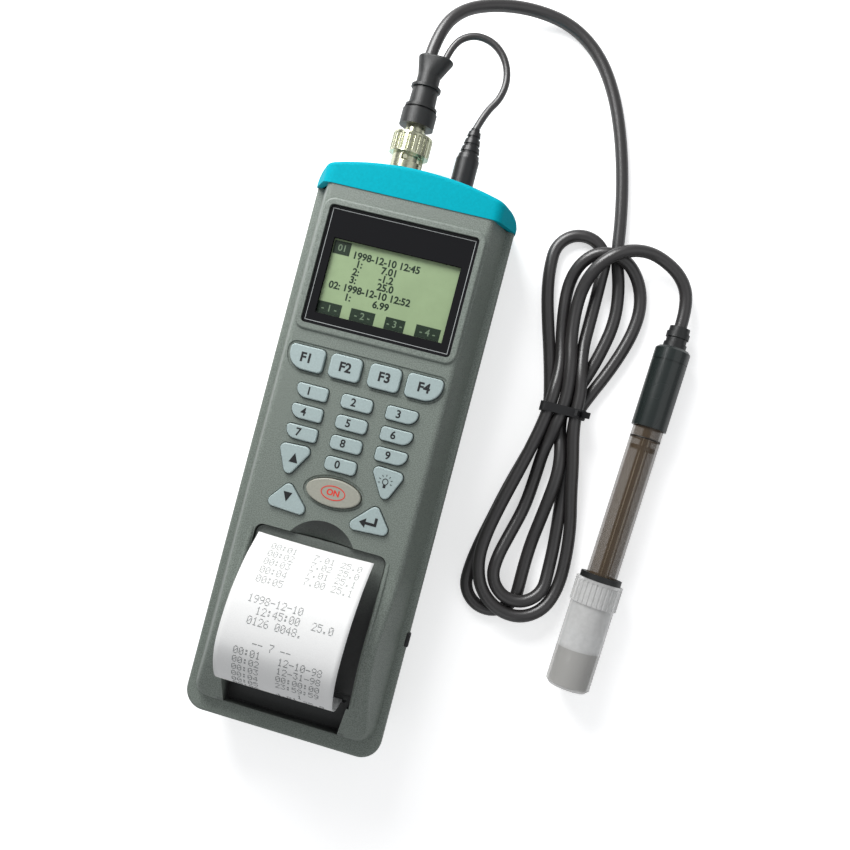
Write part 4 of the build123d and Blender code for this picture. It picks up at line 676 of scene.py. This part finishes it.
# Rounded rims along the inner edges of the printer bay
rimSet = {  # radius, how far out, how far below the line
    "left": (1.2, 26.7, 0.7),
    "right": (0.85, 26.35, 0.45),
}
rimLine = [  # along the hump
    (-34.5, 39.9), (-42, 40.6), (-50, 42.4), (-58, 43.8), (-66, 44.3), (-74, 43.6), (-82, 41.6), (-88, 39.4),
]
for name, side in (("left", -1), ("right", 1)):
    radius, out, sink = rimSet[name]
    curve = bpy.data.curves.new(f"bay_rim_{name}", "CURVE")
    curve.dimensions = "3D"
    line = curve.splines.new("NURBS")
    line.points.add(len(rimLine) - 1)
    for point, (y, z) in zip(line.points, rimLine):
        point.co = (side * out * mm, y * mm, (z - sink) * mm, 1)
        point.radius = radius * mm
    line.order_u = 3
    line.use_endpoint_u = True
    curve.bevel_depth = 1.0  # times the points' radius
    curve.use_fill_caps = True
    addPiece(f"bay_rim_{name}", curve, looks["case_plastic"], "meter")

# A small black catch on the right side of the case
catchSet = {"place": (39.05, -62.0, 25.6), "size": (1.6, 5.6, 2.4), "round": 0.45}
bm = bmesh.new()
bmesh.ops.create_cube(bm, size=1.0)
for vert in bm.verts:
    vert.co = (Vector(catchSet["place"]) + Vector(v * s for v, s in zip(vert.co, catchSet["size"]))) * mm
bmesh.ops.bevel(bm, geom=bm.edges[:], offset=catchSet["round"] * mm, segments=3, profile=0.5, affect="EDGES")
addPiece("side_catch", meshFrom(bm, "side_catch"), looks["black_plastic"], "meter")
say("case details")

# Floor, lamps and world
floorSet = {"half": 1.6, "drop": 0.02, "glow": 0.55, "color": (0.9, 0.9, 0.9, 1), "rough": 0.9}
bm = bmesh.new()
bmesh.ops.create_grid(bm, x_segments=4, y_segments=4, size=floorSet["half"])
floor = bpy.data.objects.new("floor", meshFrom(bm, "floor"))
floor.location.z = -floorSet["drop"] * mm
bpy.context.collection.objects.link(floor)
floorLook = bpy.data.materials.new("paleFloor")
floorLook.use_nodes = True
tree = floorLook.node_tree
shader = tree.nodes["Principled BSDF"]
shader.inputs["Base Color"].default_value = floorSet["color"]
shader.inputs["Roughness"].default_value = floorSet["rough"]
shader.inputs["Specular IOR Level"].default_value = 0.0
glow = tree.nodes.new("ShaderNodeEmission")
glow.inputs["Color"].default_value = (1, 1, 1, 1)
ray = tree.nodes.new("ShaderNodeLightPath")
half = tree.nodes.new("ShaderNodeMath")
half.operation = "MULTIPLY"
half.inputs[1].default_value = floorSet["glow"]
tree.links.new(ray.outputs["Is Camera Ray"], half.inputs[0])
tree.links.new(half.outputs[0], glow.inputs["Strength"])
both = tree.nodes.new("ShaderNodeAddShader")
tree.links.new(shader.outputs[0], both.inputs[0])
tree.links.new(glow.outputs[0], both.inputs[1])
tree.links.new(both.outputs[0], tree.nodes["Material Output"].inputs["Surface"])
floor.data.materials.append(floorLook)

lampSet = {  # place and size in metres, power
    "key_lamp": ((-0.2, 0.35, 0.28), 0.28, 2.75),
    "fill_lamp": ((0.7, 0.1, 0.8), 0.8, 0.9),
    "low_lamp": ((-0.1, -0.8, 0.7), 0.8, 0.9),
}
lampAim = Vector((0.04, 0, 0))
for name, (place, size, power) in lampSet.items():
    lamp = bpy.data.lights.new(name, "AREA")
    lamp.size = size
    lamp.energy = power
    lampObject = bpy.data.objects.new(name, lamp)
    lampObject.location = place
    lampObject.rotation_euler = (lampAim - Vector(place)).to_track_quat("-Z", "Y").to_euler()
    bpy.context.collection.objects.link(lampObject)
worldSet = {"color": (0.95, 0.97, 1.0, 1), "light": 0.33, "seen": 1.0}
world = bpy.data.worlds.new("world")
bpy.context.scene.world = world
world.use_nodes = True
tree = world.node_tree
sky = tree.nodes["Background"]
sky.inputs["Color"].default_value = worldSet["color"]
ray = tree.nodes.new("ShaderNodeLightPath")
level = tree.nodes.new("ShaderNodeMapRange")
level.inputs["To Min"].default_value = worldSet["light"]
level.inputs["To Max"].default_value = worldSet["seen"]
tree.links.new(ray.outputs["Is Camera Ray"], level.inputs["Value"])
tree.links.new(level.outputs["Result"], sky.inputs["Strength"])
bpy.context.scene.view_settings.view_transform = "Standard"

bpy.context.view_layer.update()
say("finish")
